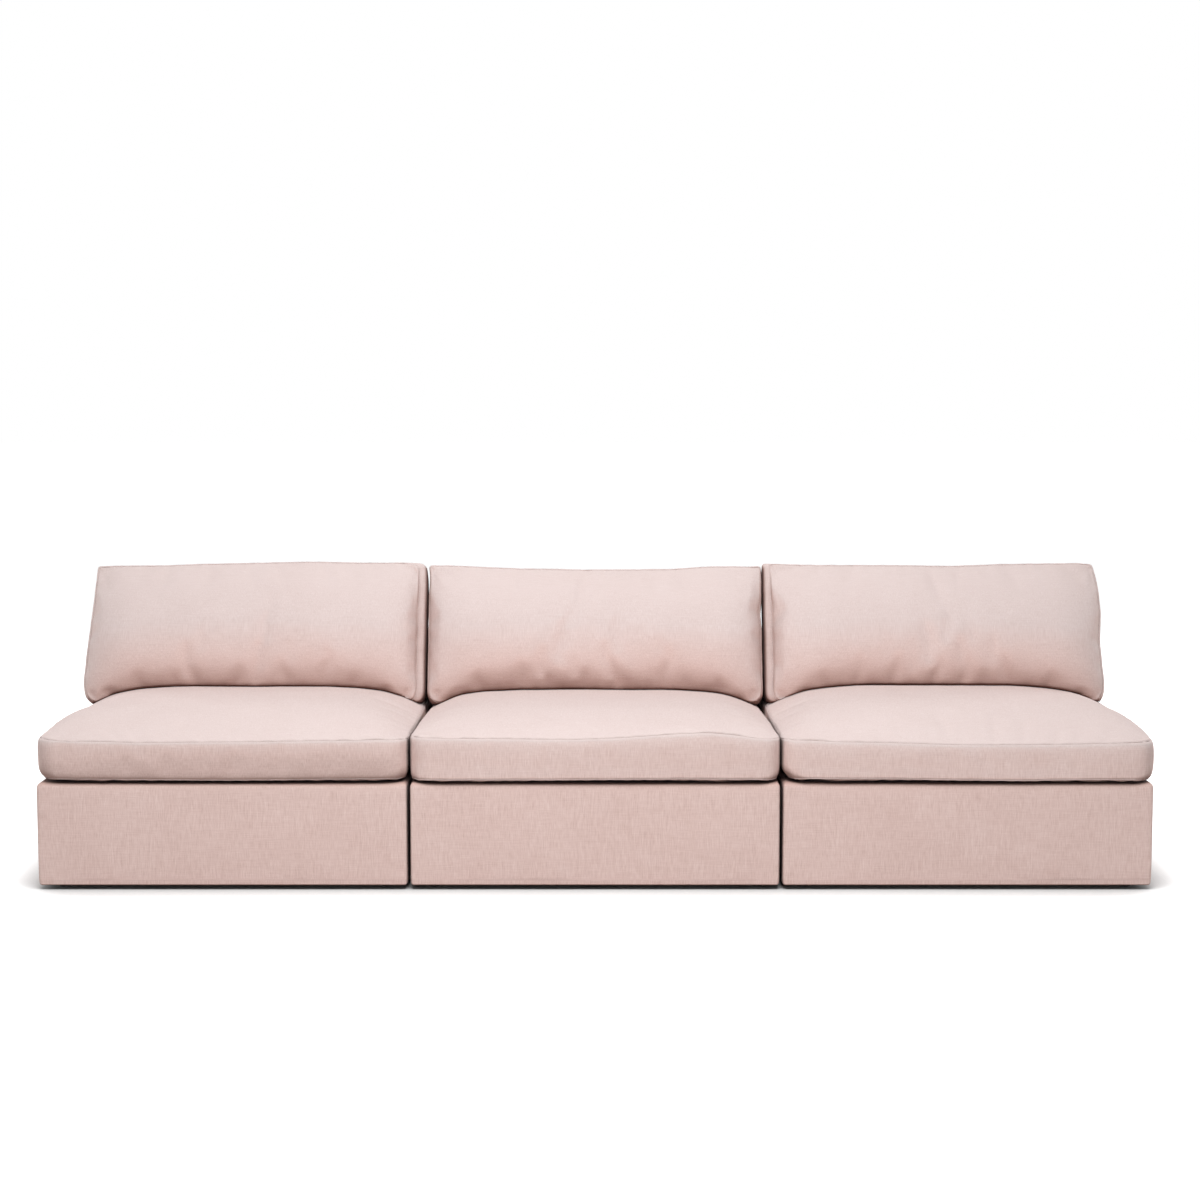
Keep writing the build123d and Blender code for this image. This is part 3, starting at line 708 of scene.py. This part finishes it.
def sewn_details(piece, half_u, half_v, height, look):
    """Seam grooves, puckers beside them, corner folds and slow unevenness, on the fine mesh."""
    mesh = piece.data
    ease_poles(mesh, half_u, half_v, max(look["radii"]))
    seed = look["seed"]
    points = coordinates(mesh)
    lay, out = stored(mesh, "lay"), normals(mesh)
    u, v, rise = lay.T
    from_high, from_low = np.abs(rise - height), np.abs(rise)
    groove = -GROOVES[0] * np.exp(-((from_high / GROOVE_WIDTH) ** 2))
    groove -= GROOVES[1] * np.exp(-((from_low / GROOVE_WIDTH) ** 2))
    beside = np.exp(-from_high / 0.028) + 0.6 * np.exp(-from_low / 0.022)
    along_u = waves(np.stack([u, 0 * u, 0 * u + 0.3], axis=1), seed, 0.019)
    along_v = waves(np.stack([0 * v, v, 0 * v + 0.9], axis=1), seed + 11, 0.019)
    end_share = np.exp(-(half_u - np.abs(u)) / 0.02)
    long_share = np.exp(-(half_v - np.abs(v)) / 0.02)
    ruffle = look["pucker"] * beside * (long_share * along_u + end_share * along_v)
    gather = np.clip(0.45 + 0.9 * waves(np.stack([u, v, 0 * u], axis=1), seed + 5, 0.12), 0.1, 1.3)
    slow = 0.0011 * waves(points, seed + 21, 0.17) + 0.0008 * waves(points, seed + 31, 0.06)
    pleats = look["gather"] * np.exp(-(half_v + v) / 0.045) * np.where(rise >= height, 1.0, 0.3)
    slow += pleats * waves(np.stack([u, 0.25 * v, 0 * u], axis=1), seed + 41, 0.020)
    hold = 1 - np.exp(-np.minimum(from_high, from_low) / 0.03)
    offset = groove + ruffle * gather + slow * hold
    offset += corner_folds(lay, half_u, half_v, height, seed, look["folds"])
    move_to(mesh, points + out * offset[:, None])


def cushion(name, half_u, half_v, height, look, place):
    """One cushion's coarse mesh in place, with the pattern kept as an attribute, and its two seams."""
    patch, low_seam, high_seam = boxed_pattern(half_u, half_v, height, look["radii"])
    lay = np.array(patch.lay)
    points = rest_form(lay, half_u, half_v, height, look)
    points += 0.0015 * np.stack([waves(points, look["seed"] + axis, 0.22) for axis in range(3)], axis=1)
    points = np.array([place @ Vector(point) for point in points])
    piece = mesh_object(name, points, patch.faces, look["material"])
    store(piece.data, "lay", lay)
    piece["boxing"] = height
    return piece, low_seam, high_seam


# lists of pairs are lines along a side: (share -1..1, millimetres); single lengths are metres
INNER_EDGE = [(-1, 0), (-0.2, 0), (0.1, -4), (0.45, -10), (1, -15)]
FULL_EDGE = [(-1, 0), (0.1, 0), (0.45, -1), (1, -4)]
SEEN_SHOULDER = [(-1, 2), (-0.8, 10), (-0.4, 14), (0.1, 12), (0.5, 7), (1, 4)]
HIDDEN_SHOULDER = [(-1, 0), (-0.8, 2), (-0.4, 6), (0.2, 9), (1, 11)]
END_SHOULDER = [(-1, 0), (-0.1, 0), (0.15, 9), (1, 12)]
FAR_SHOULDER = [(-1, 0), (-0.1, 0), (0.15, 6), (1, 6)]
SEAT_LOOK = {
    "reach": (0.30, 0.30, 0.17), "fullness": (0.62, 1.0, 0.8), "bulge": 0.006, "taper": (0, 0),
    "wrap": (0, 0), "tilt": 0.0, "waist": 0.002, "rim": 0.0085, "rear_crown": 0.0, "gather": 0.0, "flat": 5,
    "radii": (0.030, 0.030, 0.045, 0.045), "low": [(-1, 1), (-0.85, 5), (0, 7), (0.85, 5), (1, 1)],
    "pucker": 0.0011, "folds": (0.0022, 0.0022, 0.0010, 0.0010), "material": LINEN,
}
SEAT_LOOKS = {
    "left": {
        "seed": 1, "crown": SEAT_CROWN - 0.006, "pressed": (0, 1), "tuck": (0.008, 0.006, -0.003),
        "tilt": 0.010, "shoulders": (END_SHOULDER, SEEN_SHOULDER),
        "seam": [(-1, 4), (-0.8, -1), (-0.45, -6), (0.1, -3), (0.65, 1), (1, 5)],
        "hem": [(-1, 4), (-0.92, 2), (-0.8, 1), (-0.5, 0), (0, -1), (1, 2)],
        "left": [(-1, -2), (-0.75, 6), (-0.4, 18), (0, 22), (0.35, 12), (1, 4)], "right": FULL_EDGE,
    },
    "middle": {
        "seed": 2, "crown": SEAT_CROWN - 0.016, "pressed": (1, 1), "tuck": (0.003, 0.006, -0.007),
        "shoulders": (HIDDEN_SHOULDER, HIDDEN_SHOULDER),
        "seam": [(-1, 6), (-0.5, 3), (-0.1, 1), (0.15, 6), (0.45, 16), (0.62, 20), (0.78, 13), (0.88, 6),
                 (1, 1)],
        "hem": [(-1, 0), (-0.5, -1), (0.5, 2), (0.78, 1), (1, 0)], "left": INNER_EDGE, "right": INNER_EDGE,
    },
    "right": {
        "seed": 3, "crown": SEAT_CROWN - 0.003, "pressed": (1, 0), "tuck": (0.016, 0.005, -0.007),
        "shoulders": (SEEN_SHOULDER, FAR_SHOULDER),
        "seam": [(-1, 3), (-0.7, -5), (-0.4, -8), (0, -13), (0.35, -13), (0.6, -11), (0.8, -8), (1, -6)],
        "hem": [(-1, 3), (-0.6, 2), (0, 0), (0.3, -2), (0.6, 0), (0.8, 1), (1, 0)],
        "left": FULL_EDGE, "right": [(-1, 4), (-0.75, 12), (-0.4, 20), (0, 26), (0.35, 22), (1, 12)],
    },
}
NEXT_EDGE = [(-1, 1), (0, 6), (0.5, 5), (0.7, 4), (0.85, 2), (1, 2)]
BACK_LOOK = {
    "crown": BACK_CROWN + 0.020, "reach": (0.13, 0.16, 0.22), "fullness": (0.66, 0.80, 0.95),
    "bulge": 0.005, "tuck": (0, 0, 0), "taper": (0, 0), "wrap": (0, 0), "tilt": 0.0, "waist": 0.005,
    "rim": 0.0, "rear_crown": 0.016, "gather": 0.0008, "flat": 7, "radii": (0.008, 0.008, 0.038, 0.038),
    "pucker": 0.0012, "folds": (0.0008,) * 4, "shoulders": ([], []), "drop": 0.010,
    "foot": [(-1, 24), (-0.88, 20), (-0.7, 9), (-0.4, 0), (0.4, 0), (0.7, 9), (0.88, 20), (1, 24)],
    "material": LINEN_BACK,
}
BACK_LOOKS = {
    "left": {
        "seed": 4, "radii": (0.022, 0.008, 0.038, 0.038), "pressed": (0, 0), "taper": (0, 0.008),
        "wrap": (0.003, 0.018),
        "high": [(-1, 9), (-0.92, 12), (-0.85, 14), (-0.55, 16), (-0.37, 21), (0, 25), (0.33, 29),
                 (0.5, 27), (0.66, 24), (0.85, 23), (1, 18)],
        "left": [(-1, 10), (-0.7, 23), (-0.2, 17), (0.3, 9), (0.8, -1), (1, -6)], "right": NEXT_EDGE,
    },
    "middle": {
        "seed": 5, "pressed": (0.4, 0.4),
        "high": [(-1, 13), (-0.88, 15), (-0.64, 10), (-0.45, 7), (-0.25, 8), (-0.06, 5), (0.17, 5),
                 (0.33, 6), (0.49, 7), (0.66, 12), (0.81, 11), (0.96, 9)],
        "left": [(-1, 1), (0, 4), (0.55, 3), (0.7, 0), (0.85, -3), (0.95, 1), (1, 0)],
        "right": [(-1, 1), (0, 4), (0.3, -1), (0.5, 3), (0.8, 3), (0.9, 0), (1, 1)],
    },
    "right": {
        "seed": 6, "pressed": (0, 0), "taper": (0.008, 0), "wrap": (0.018, 0.003),
        "high": [(-1, 19), (-0.66, 16), (-0.42, 18), (-0.17, 19), (0, 17), (0.14, 16), (0.28, 18),
                 (0.41, 21), (0.58, 22), (0.74, 21), (0.92, 21), (1, 15)],
        "left": NEXT_EDGE,
        "right": [(-1, 8), (-0.7, 16), (-0.2, 11), (0.3, 17), (0.6, 13), (0.8, 5), (1, -7)],
    },
}


def seat_place(x):
    return Matrix.Translation((x, (FRONT + SEAT_REAR) / 2, SEAT_BOTTOM))


def back_place(x):
    """A lying cushion turned upright and leaned on the back frame's rounded top edge."""
    rear_plane = EDGE_Y * math.cos(RAKE) - EDGE_Z * math.sin(RAKE) - COVER_RADIUS - 0.0003
    front_plane = rear_plane - BACK_BOXING
    foot_y = (front_plane + BACK_FOOT * math.sin(RAKE)) / math.cos(RAKE)
    middle_y = foot_y + BACK_BOXING * math.cos(RAKE) + BACK_HALF_HEIGHT * math.sin(RAKE)
    middle_z = BACK_FOOT - BACK_BOXING * math.sin(RAKE) + BACK_HALF_HEIGHT * math.cos(RAKE)
    return Matrix.Translation((x, middle_y, middle_z)) @ Matrix.Rotation(math.pi / 2 - RAKE, 4, "X")


def keep_between_neighbours(piece, module):
    """Press the sides that meet a neighbouring cushion flat just short of the line between them."""
    points = coordinates(piece.data)
    limit = PITCH / 2 - NEIGHBOUR_GAP
    low = module_x(module) - limit if module != "left" else -math.inf
    high = module_x(module) + limit if module != "right" else math.inf
    points[:, 0] = np.clip(points[:, 0], low, high)
    move_to(piece.data, points)


def keep_on_deck(piece):
    """Hold a seat cushion above the deck and in front of the back frame."""
    points = coordinates(piece.data)
    points[:, 2] = np.maximum(points[:, 2], SEAT_BOTTOM + DECK_GAP)
    points[:, 1] = np.minimum(points[:, 1], BACK_FRONT - 0.002)
    move_to(piece.data, points)


def keep_off_frame(piece):
    """Press a back cushion's rear panel in where the back frame's top edge holds it."""
    points = coordinates(piece.data)
    clear = COVER_RADIUS + FRAME_GAP
    for point in points:
        if point[2] < EDGE_Z:
            point[1] = min(point[1], BACK_FRONT - FRAME_GAP)
        elif point[1] < EDGE_Y:
            reach = math.hypot(point[1] - EDGE_Y, point[2] - EDGE_Z)
            if reach < clear:
                share = clear / max(reach, 1e-6)
                point[1] = EDGE_Y + (point[1] - EDGE_Y) * share
                point[2] = EDGE_Z + (point[2] - EDGE_Z) * share
        else:
            point[2] = max(point[2], EDGE_Z + clear)
    move_to(piece.data, points)


def settle_on(piece, support):
    """Flatten a piece's underside where it would sink into what it rests on."""
    tree = BVHTree.FromObject(support, bpy.context.evaluated_depsgraph_get())
    points = coordinates(piece.data)
    for point in points:
        if point[2] < RESTING_HEIGHT:
            hit = tree.ray_cast(Vector((point[0], point[1], ABOVE_SEATS)), Vector((0, 0, -1)))[0]
            if hit is not None:
                point[2] = max(point[2], hit.z + SEAT_GAP)
    move_to(piece.data, points)


def finish_cushion(piece, kind, module, seams):
    """Bind a cushion to its body and sew the rolls of its two seams on."""
    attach(piece, f"{module}_{kind}")
    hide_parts(f"{module}_{kind}_cushion")
    points = coordinates(piece.data)
    for label, seam in seams:
        radius = LOW_ROLL if label == "low" else ROLL
        roll = tube(f"{module}_{kind}_{label}_seam", points[seam], radius, LINEN_SEAM)
        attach(roll, f"{module}_{kind}")


def zip_rows(mesh, side, half_u, half_v, height):
    """Five rows of vertices along the middle of the boxing, on the pattern's +v (1) or -v (-1) side."""
    u, v, rise = stored(mesh, "lay").T
    on_side = (side * v > half_v - 1e-4) & (np.abs(u) < half_u - ZIP_INSET)
    on_side &= (rise > 0.02) & (rise < height - 0.02)
    levels = np.unique(np.round(rise[on_side], 5))
    middle = int(np.argmin(np.abs(levels - height / 2)))
    rows = []
    for level in levels[middle - 2:middle + 3]:
        line = np.flatnonzero(on_side & (np.abs(rise - level) < 2e-5))
        rows.append(line[np.argsort(u[line])])
    return rows


def zip_metal(label, half_width, half_length, lift, thick, shift):
    """Label, points and faces of a small plate, lifted off the coil and moved along it."""
    levels = ((0.0004, 0.0), (0.0, 0.3 * thick), (0.0, 0.7 * thick), (0.0004, thick), (PLATE_RADIUS, thick))
    radii = (PLATE_RADIUS,) * 4
    patch = box_patch(half_width, half_length, lambda z: radii, levels, (3, 5), PLATE_RADIUS)
    return label, np.array(patch.lay) + (0, shift, lift), patch.faces


def zip_fastener(piece, kind, module, half_u, half_v, height):
    """Coil zip with its slider, sewn into the boxing that faces backwards (seat) or down (back cushion)."""
    points, out = coordinates(piece.data), normals(piece.data)
    rows = zip_rows(piece.data, 1 if kind == "seat" else -1, half_u, half_v, height)
    tape = [points[line] + out[line] * 0.0003 for line in rows]
    centre = points[rows[2]]
    span = np.concatenate([[0], np.cumsum(np.linalg.norm(np.diff(centre, axis=0), axis=1))])
    steps = np.arange(0, span[-1], ZIP_STEP)
    path, up = (np.stack([np.interp(steps, span, values[:, axis]) for axis in range(3)], axis=1)
                for values in (centre, out[rows[2]]))
    ahead = np.gradient(path, axis=0)
    ahead /= np.linalg.norm(ahead, axis=1)[:, None]
    across = np.cross(up, ahead)
    coil = []
    for place, share in COIL_ROWS:
        swing = np.cos(2 * math.pi * steps / ZIP_PITCH + (math.pi if place > 0 else 0))
        proud = 0.0002 + share * (0.0005 + 0.0003 * swing)
        coil.append(path + across * (place / 1000) + up * proud[:, None])
    parts = [(grid_object(f"{module}_{kind}_zip_tape", tape, ZIP_TAPE), "linen"),
             (grid_object(f"{module}_{kind}_zip_coil", coil, ZIP_COIL), "linen")]
    end = len(path) - 12
    axes = np.stack([across[end], ahead[end], up[end]], axis=1)
    for label, local, faces in (zip_metal("slider", 0.0042, 0.0055, 0.0003, 0.0011, 0.0),
                                zip_metal("pull", 0.0028, 0.0110, 0.0013, 0.0005, -0.0125)):
        made = path[end] + local @ axes.T
        if kind == "seat":
            made[:, 1] = np.minimum(made[:, 1], BACK_FRONT - 0.0004)
        parts.append((mesh_object(f"{module}_{kind}_zip_{label}", made, faces, FINISHES["steel"]), "steel"))
    for part, slot in parts:
        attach(part, f"{module}_{kind}")


def cushions():
    """All six cushions, with the rolls of their seams and their zips."""
    half_depth = (SEAT_REAR - FRONT) / 2
    made = []
    for kind, half_v, height, shared, looks, place in (
            ("seat", half_depth, SEAT_BOXING, SEAT_LOOK, SEAT_LOOKS, seat_place),
            ("back", BACK_HALF_HEIGHT, BACK_BOXING, BACK_LOOK, BACK_LOOKS, back_place)):
        for module in MODULES:
            look = {**shared, **looks[module]}
            size = (CUSHION_HALF_WIDTH - look["bulge"], half_v - look["bulge"], height)
            parts = cushion(f"{module}_{kind}_linen", *size, look, place(module_x(module)))
            made.append((kind, module, *parts, size, look))
    blow_up([entry[2] for entry in made], [entry[3] + entry[4] for entry in made])
    seats = {}
    for kind, module, piece, low, high, size, look in made:
        subdivide(piece)
        sewn_details(piece, *size, look)
        keep_between_neighbours(piece, module)
        if kind == "seat":
            seats[module] = piece
            keep_on_deck(piece)
            seams = (("top", high), ("low", low))
        else:
            keep_off_frame(piece)
            settle_on(piece, seats[module])
            seams = (("front", high), ("rear", low))
        finish_cushion(piece, kind, module, seams)
        zip_fastener(piece, kind, module, *size)


# -------- base and back frame covers

# (inset, height above the hem's fold): turned under, folded, then a shallow groove
HEM = ((0.035, 0.0), (0.012, 0.0), (0.003, 0.0), (0.0008, 0.0010), (0.0, 0.003), (0.0002, 0.0050),
       (0.0005, 0.0080), (0.0004, 0.012), (0.0001, 0.016))


def hem_levels():
    return [(inset, BASE_BOTTOM + rise) for inset, rise in HEM]


def top_levels(top, wall_from, radius):
    """Levels up a wall and over its rounded top edge."""
    wall_to = top - radius
    levels = [(0.0, z) for z in np.linspace(wall_from, wall_to, max(2, round((wall_to - wall_from) / 0.022)))]
    for step in range(1, TURNS + 1):
        angle = math.pi / 2 * step / TURNS
        levels.append((radius * (1 - math.cos(angle)), top - radius * (1 - math.sin(angle))))
    return levels


def stood_up(patch, module, front, half_v):
    """A cover's u and height on the pattern, its points in the shared frame and its outward directions."""
    lay, out = np.array(patch.lay), np.array(patch.out)
    u, v, z = lay.T
    return u, z, np.stack([u + module_x(module), v + front + half_v, z], axis=1), out


def pad_out(points, out, u, z, proud, module):
    """Move a cover's walls out by its padding, but not a side that a neighbour faces; draw in by the hem."""
    faced = ((module != "left") & (u < 0)) | ((module != "right") & (u > 0))
    near = np.clip(1 - (z - BASE_BOTTOM) / 0.012, 0, 1)
    hem_corner = 0.005 * (1 - np.sqrt(1 - near**2))
    points[:, 0] += out[:, 0] * (0.3 * proud * np.where(faced, 0.0, 1.0) - hem_corner)
    points[:, 1] += out[:, 1] * proud


def base(index, module):
    """Padded cover of the seat box."""
    half_v = (BACK_FRONT + TAIL - FRONT) / 2
    levels = hem_levels() + top_levels(DECK, BASE_BOTTOM + 0.020, DECK_RADIUS)
    radii = (UPRIGHT_RADIUS,) * 4
    patch = box_patch(HALF_WIDTH, half_v, lambda z: radii, levels, BASE_CELLS, DECK_RADIUS)
    u, z, points, out = stood_up(patch, module, FRONT, half_v)
    share = np.clip((z - BASE_BOTTOM) / (DECK - BASE_BOTTOM), 0, 1)
    ends = np.clip(1 - (np.abs(u) / HALF_WIDTH) ** 8 * (np.abs(out[:, 0]) < 0.5), 0, 1)
    wall = np.sin(math.pi * share) ** 0.6 * ends
    proud = 0.0016 * wall + 0.0009 * waves(points, 40 + index, 0.13) * (share > 0.06)
    pad_out(points, out, u, z, proud, module)
    points[:, 1] = np.minimum(points[:, 1], BACK_FRONT)
    piece = mesh_object(f"{module}_base_linen", points, patch.faces, LINEN_BASE)
    subdivide(piece)
    fixed = coordinates(piece.data)
    fixed[:, 1] = np.minimum(fixed[:, 1], BACK_FRONT)
    move_to(piece.data, fixed)
    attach(piece, f"{module}_module")
    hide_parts(f"{module}_base_cover")


def back_frame(index, module):
    """Padded cover of the back frame."""
    half_v = (REAR - BACK_FRONT) / 2
    low = hem_levels() + [(0.0, z) for z in np.linspace(BASE_BOTTOM + 0.020, DECK - 0.0005, 12)]
    high = [(0.0, DECK + 0.0005)] + top_levels(BACK_TOP, DECK + 0.012, COVER_RADIUS)

    def radii_at(z):
        front_radius = 0.0 if z < DECK else UPRIGHT_RADIUS
        return UPRIGHT_RADIUS, UPRIGHT_RADIUS, front_radius, front_radius

    patch = box_patch(HALF_WIDTH, half_v, radii_at, low + high, BACK_CELLS, COVER_RADIUS)
    u, z, points, out = stood_up(patch, module, BACK_FRONT, half_v)
    share = np.clip((z - BASE_BOTTOM) / (BACK_TOP - BASE_BOTTOM), 0, 1)
    proud = 0.0016 * np.sin(math.pi * share) ** 0.6 + 0.0009 * waves(points, 50 + index, 0.15)
    proud *= (share > 0.03) & (out[:, 1] >= -0.5)
    pad_out(points, out, u, z, proud, module)
    piece = mesh_object(f"{module}_back_frame_linen", points, patch.faces, LINEN_BASE)
    subdivide(piece)
    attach(piece, f"{module}_module")
    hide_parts(f"{module}_back_cover")


def dust_sheet(module):
    """Thin bonded cloth under a module, drawn taut to the hem."""
    low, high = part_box(f"{module}_dust_cover")
    points, faces = [], []
    for below in (SHEET_THICKNESS, 0):
        for i in range(SHEET_CELLS + 1):
            for j in range(SHEET_CELLS + 1):
                share_u, share_v = i / SHEET_CELLS, j / SHEET_CELLS
                inner = math.sin(math.pi * share_u) * math.sin(math.pi * share_v)
                x = low[0] + (high[0] - low[0]) * share_u
                y = low[1] + (high[1] - low[1]) * share_v
                sag = 0.0012 * inner + 0.0004 * inner * noise(Vector((x, y, 0)) / 0.07)
                points.append((x, y, BASE_BOTTOM - 0.0001 - sag - below))
    stride = SHEET_CELLS + 1
    layer = stride * stride
    for i in range(SHEET_CELLS):
        for j in range(SHEET_CELLS):
            corners = [i * stride + j, (i + 1) * stride + j, (i + 1) * stride + j + 1, i * stride + j + 1]
            faces.append([layer + corner for corner in corners])
            faces.append(corners[::-1])
    rim = [i * stride for i in range(SHEET_CELLS)] + [SHEET_CELLS * stride + j for j in range(SHEET_CELLS)]
    rim += [i * stride + SHEET_CELLS for i in range(SHEET_CELLS, 0, -1)] + list(range(SHEET_CELLS, 0, -1))
    for start, end in zip(rim, rim[1:] + rim[:1]):
        faces.append([start, end, layer + end, layer + start])
    piece = mesh_object(f"{module}_dust_cloth", points, faces, FINISHES["black_cloth"])
    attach(piece, f"{module}_module")
    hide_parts(f"{module}_dust_cover")


# -------- stage

WORLD_LIGHT = 0.20
FLOOR_GLOW = 0.90
FLOOR_HALF_SIZE = 40

# name, place, target, size and power of each lamp
LAMPS = (
    ("key", (-0.1, -2.2, 3.9), (0, -0.1, 0.3), (2.8, 2.2), 178),
    ("fill", (0, -6.5, 1.4), (0, 0, 0.3), (3.0, 2.0), 26),
    ("left_fill", (-4.5, 1.8, 1.6), (0, 0.4, 0.3), (2.0, 2.0), 72),
    ("right_fill", (4.5, 1.8, 1.6), (0, 0.4, 0.3), (2.0, 2.0), 72),
    ("rear_fill", (0, 5.0, 1.6), (0, 0.5, 0.3), (4.0, 2.0), 85),
)


def area_light(name, place, target, size, power):
    lamp = bpy.data.lights.new(name, "AREA")
    lamp.shape = "RECTANGLE"
    lamp.size, lamp.size_y = size
    lamp.energy = power
    holder = bpy.data.objects.new(name, lamp)
    bpy.context.scene.collection.objects.link(holder)
    holder.location = place
    holder.rotation_euler = (Vector(target) - Vector(place)).to_track_quat("-Z", "Y").to_euler()


def world():
    """Even pale surroundings, pure white where the camera sees them, straight or mirrored."""
    surroundings = bpy.data.worlds.new("studio")
    surroundings.use_nodes = True
    tree = surroundings.node_tree
    tree.nodes.clear()
    rays, seen, mirrored, lit, shown, choose, output = (tree.nodes.new(f"ShaderNode{kind}") for kind in (
        "LightPath", "Math", "Math", "Background", "Background", "MixShader", "OutputWorld"))
    seen.operation = mirrored.operation = "MAXIMUM"
    for background, strength in ((lit, WORLD_LIGHT), (shown, 1.0)):
        background.inputs["Color"].default_value = (1, 1, 1, 1)
        background.inputs["Strength"].default_value = strength
    for outlet, inlet in ((rays.outputs["Is Camera Ray"], seen.inputs[0]),
                          (rays.outputs["Is Glossy Ray"], mirrored.inputs[0]),
                          (rays.outputs["Is Transmission Ray"], mirrored.inputs[1]),
                          (mirrored.outputs[0], seen.inputs[1]), (seen.outputs[0], choose.inputs[0]),
                          (lit.outputs[0], choose.inputs[1]), (shown.outputs[0], choose.inputs[2]),
                          (choose.outputs[0], output.inputs[0])):
        tree.links.new(outlet, inlet)
    bpy.context.scene.world = surroundings


def floor():
    """White floor: its lit cloth keeps the sofa's contact shadow, and its glow, seen straight or mirrored,
    fades near the sofa by ambient occlusion as a painted contact shadow.
    """
    graph = Graph("studio_floor")
    tone = graph.ramp(graph.noise(graph.object, 2, 2), ((0.3, (0.55, 0.55, 0.55)), (0.7, (0.57, 0.57, 0.57))))
    material = graph.finish(tone, 0.9, Specular_IOR_Level=0.0)
    rays = graph.add("ShaderNodeLightPath")
    seen = graph.maths("MAXIMUM", rays.outputs["Is Camera Ray"], rays.outputs["Is Glossy Ray"])
    # painted contact shadow: the glow is cut where the sofa is within 15 cm
    glow_share_outside_painted_shadow = graph.maths("POWER", graph.openness(0.15, 8), 3.0)
    brightness = graph.maths("MULTIPLY", graph.maths("MULTIPLY", seen, glow_share_outside_painted_shadow), FLOOR_GLOW)
    glow = graph.add("ShaderNodeEmission")
    glow.inputs["Color"].default_value = (1, 1, 1, 1)
    graph.put(glow.inputs["Strength"], brightness)
    both = graph.add("ShaderNodeAddShader")
    graph.put(both.inputs[0], graph.shader.outputs[0])
    graph.put(both.inputs[1], glow.outputs[0])
    graph.put(graph.output.inputs[0], both.outputs[0])
    corners = [(side_x * FLOOR_HALF_SIZE, side_y * FLOOR_HALF_SIZE, 0)
               for side_x, side_y in ((-1, -1), (1, -1), (1, 1), (-1, 1))]
    plane = mesh_object("studio_floor", corners, [(0, 1, 2, 3)], material, smooth=False)


def camera():
    """Viewpoint 5.5 m in front of the sofa, a little above it."""
    data = bpy.data.cameras.new("viewpoint")
    data.sensor_width = 36
    data.lens = 64.79
    data.shift_x = 0.00417
    data.clip_end = 200
    holder = bpy.data.objects.new("viewpoint", data)
    bpy.context.scene.collection.objects.link(holder)
    holder.location = (0, -5.9825, 1.315)
    holder.rotation_euler = (math.radians(90 - 5.8), 0, 0)
    bpy.context.scene.camera = holder


def main():
    slots = {entry["node"]: entry["material_slot"] for entry in frame["record"]["subparts"]}
    for name, node in frame["nodes"].items():
        finish = FINISHES[slots[name]]
        if not node.material_slots:
            node.data.materials.append(finish)
        for slot in node.material_slots:
            slot.material = finish
    for index, module in enumerate(MODULES):
        base(index, module)
        back_frame(index, module)
        dust_sheet(module)
    cushions()
    world()
    floor()
    for lamp in LAMPS:
        area_light(*lamp)
    camera()
    bpy.context.scene.view_settings.view_transform = "Standard"


main()
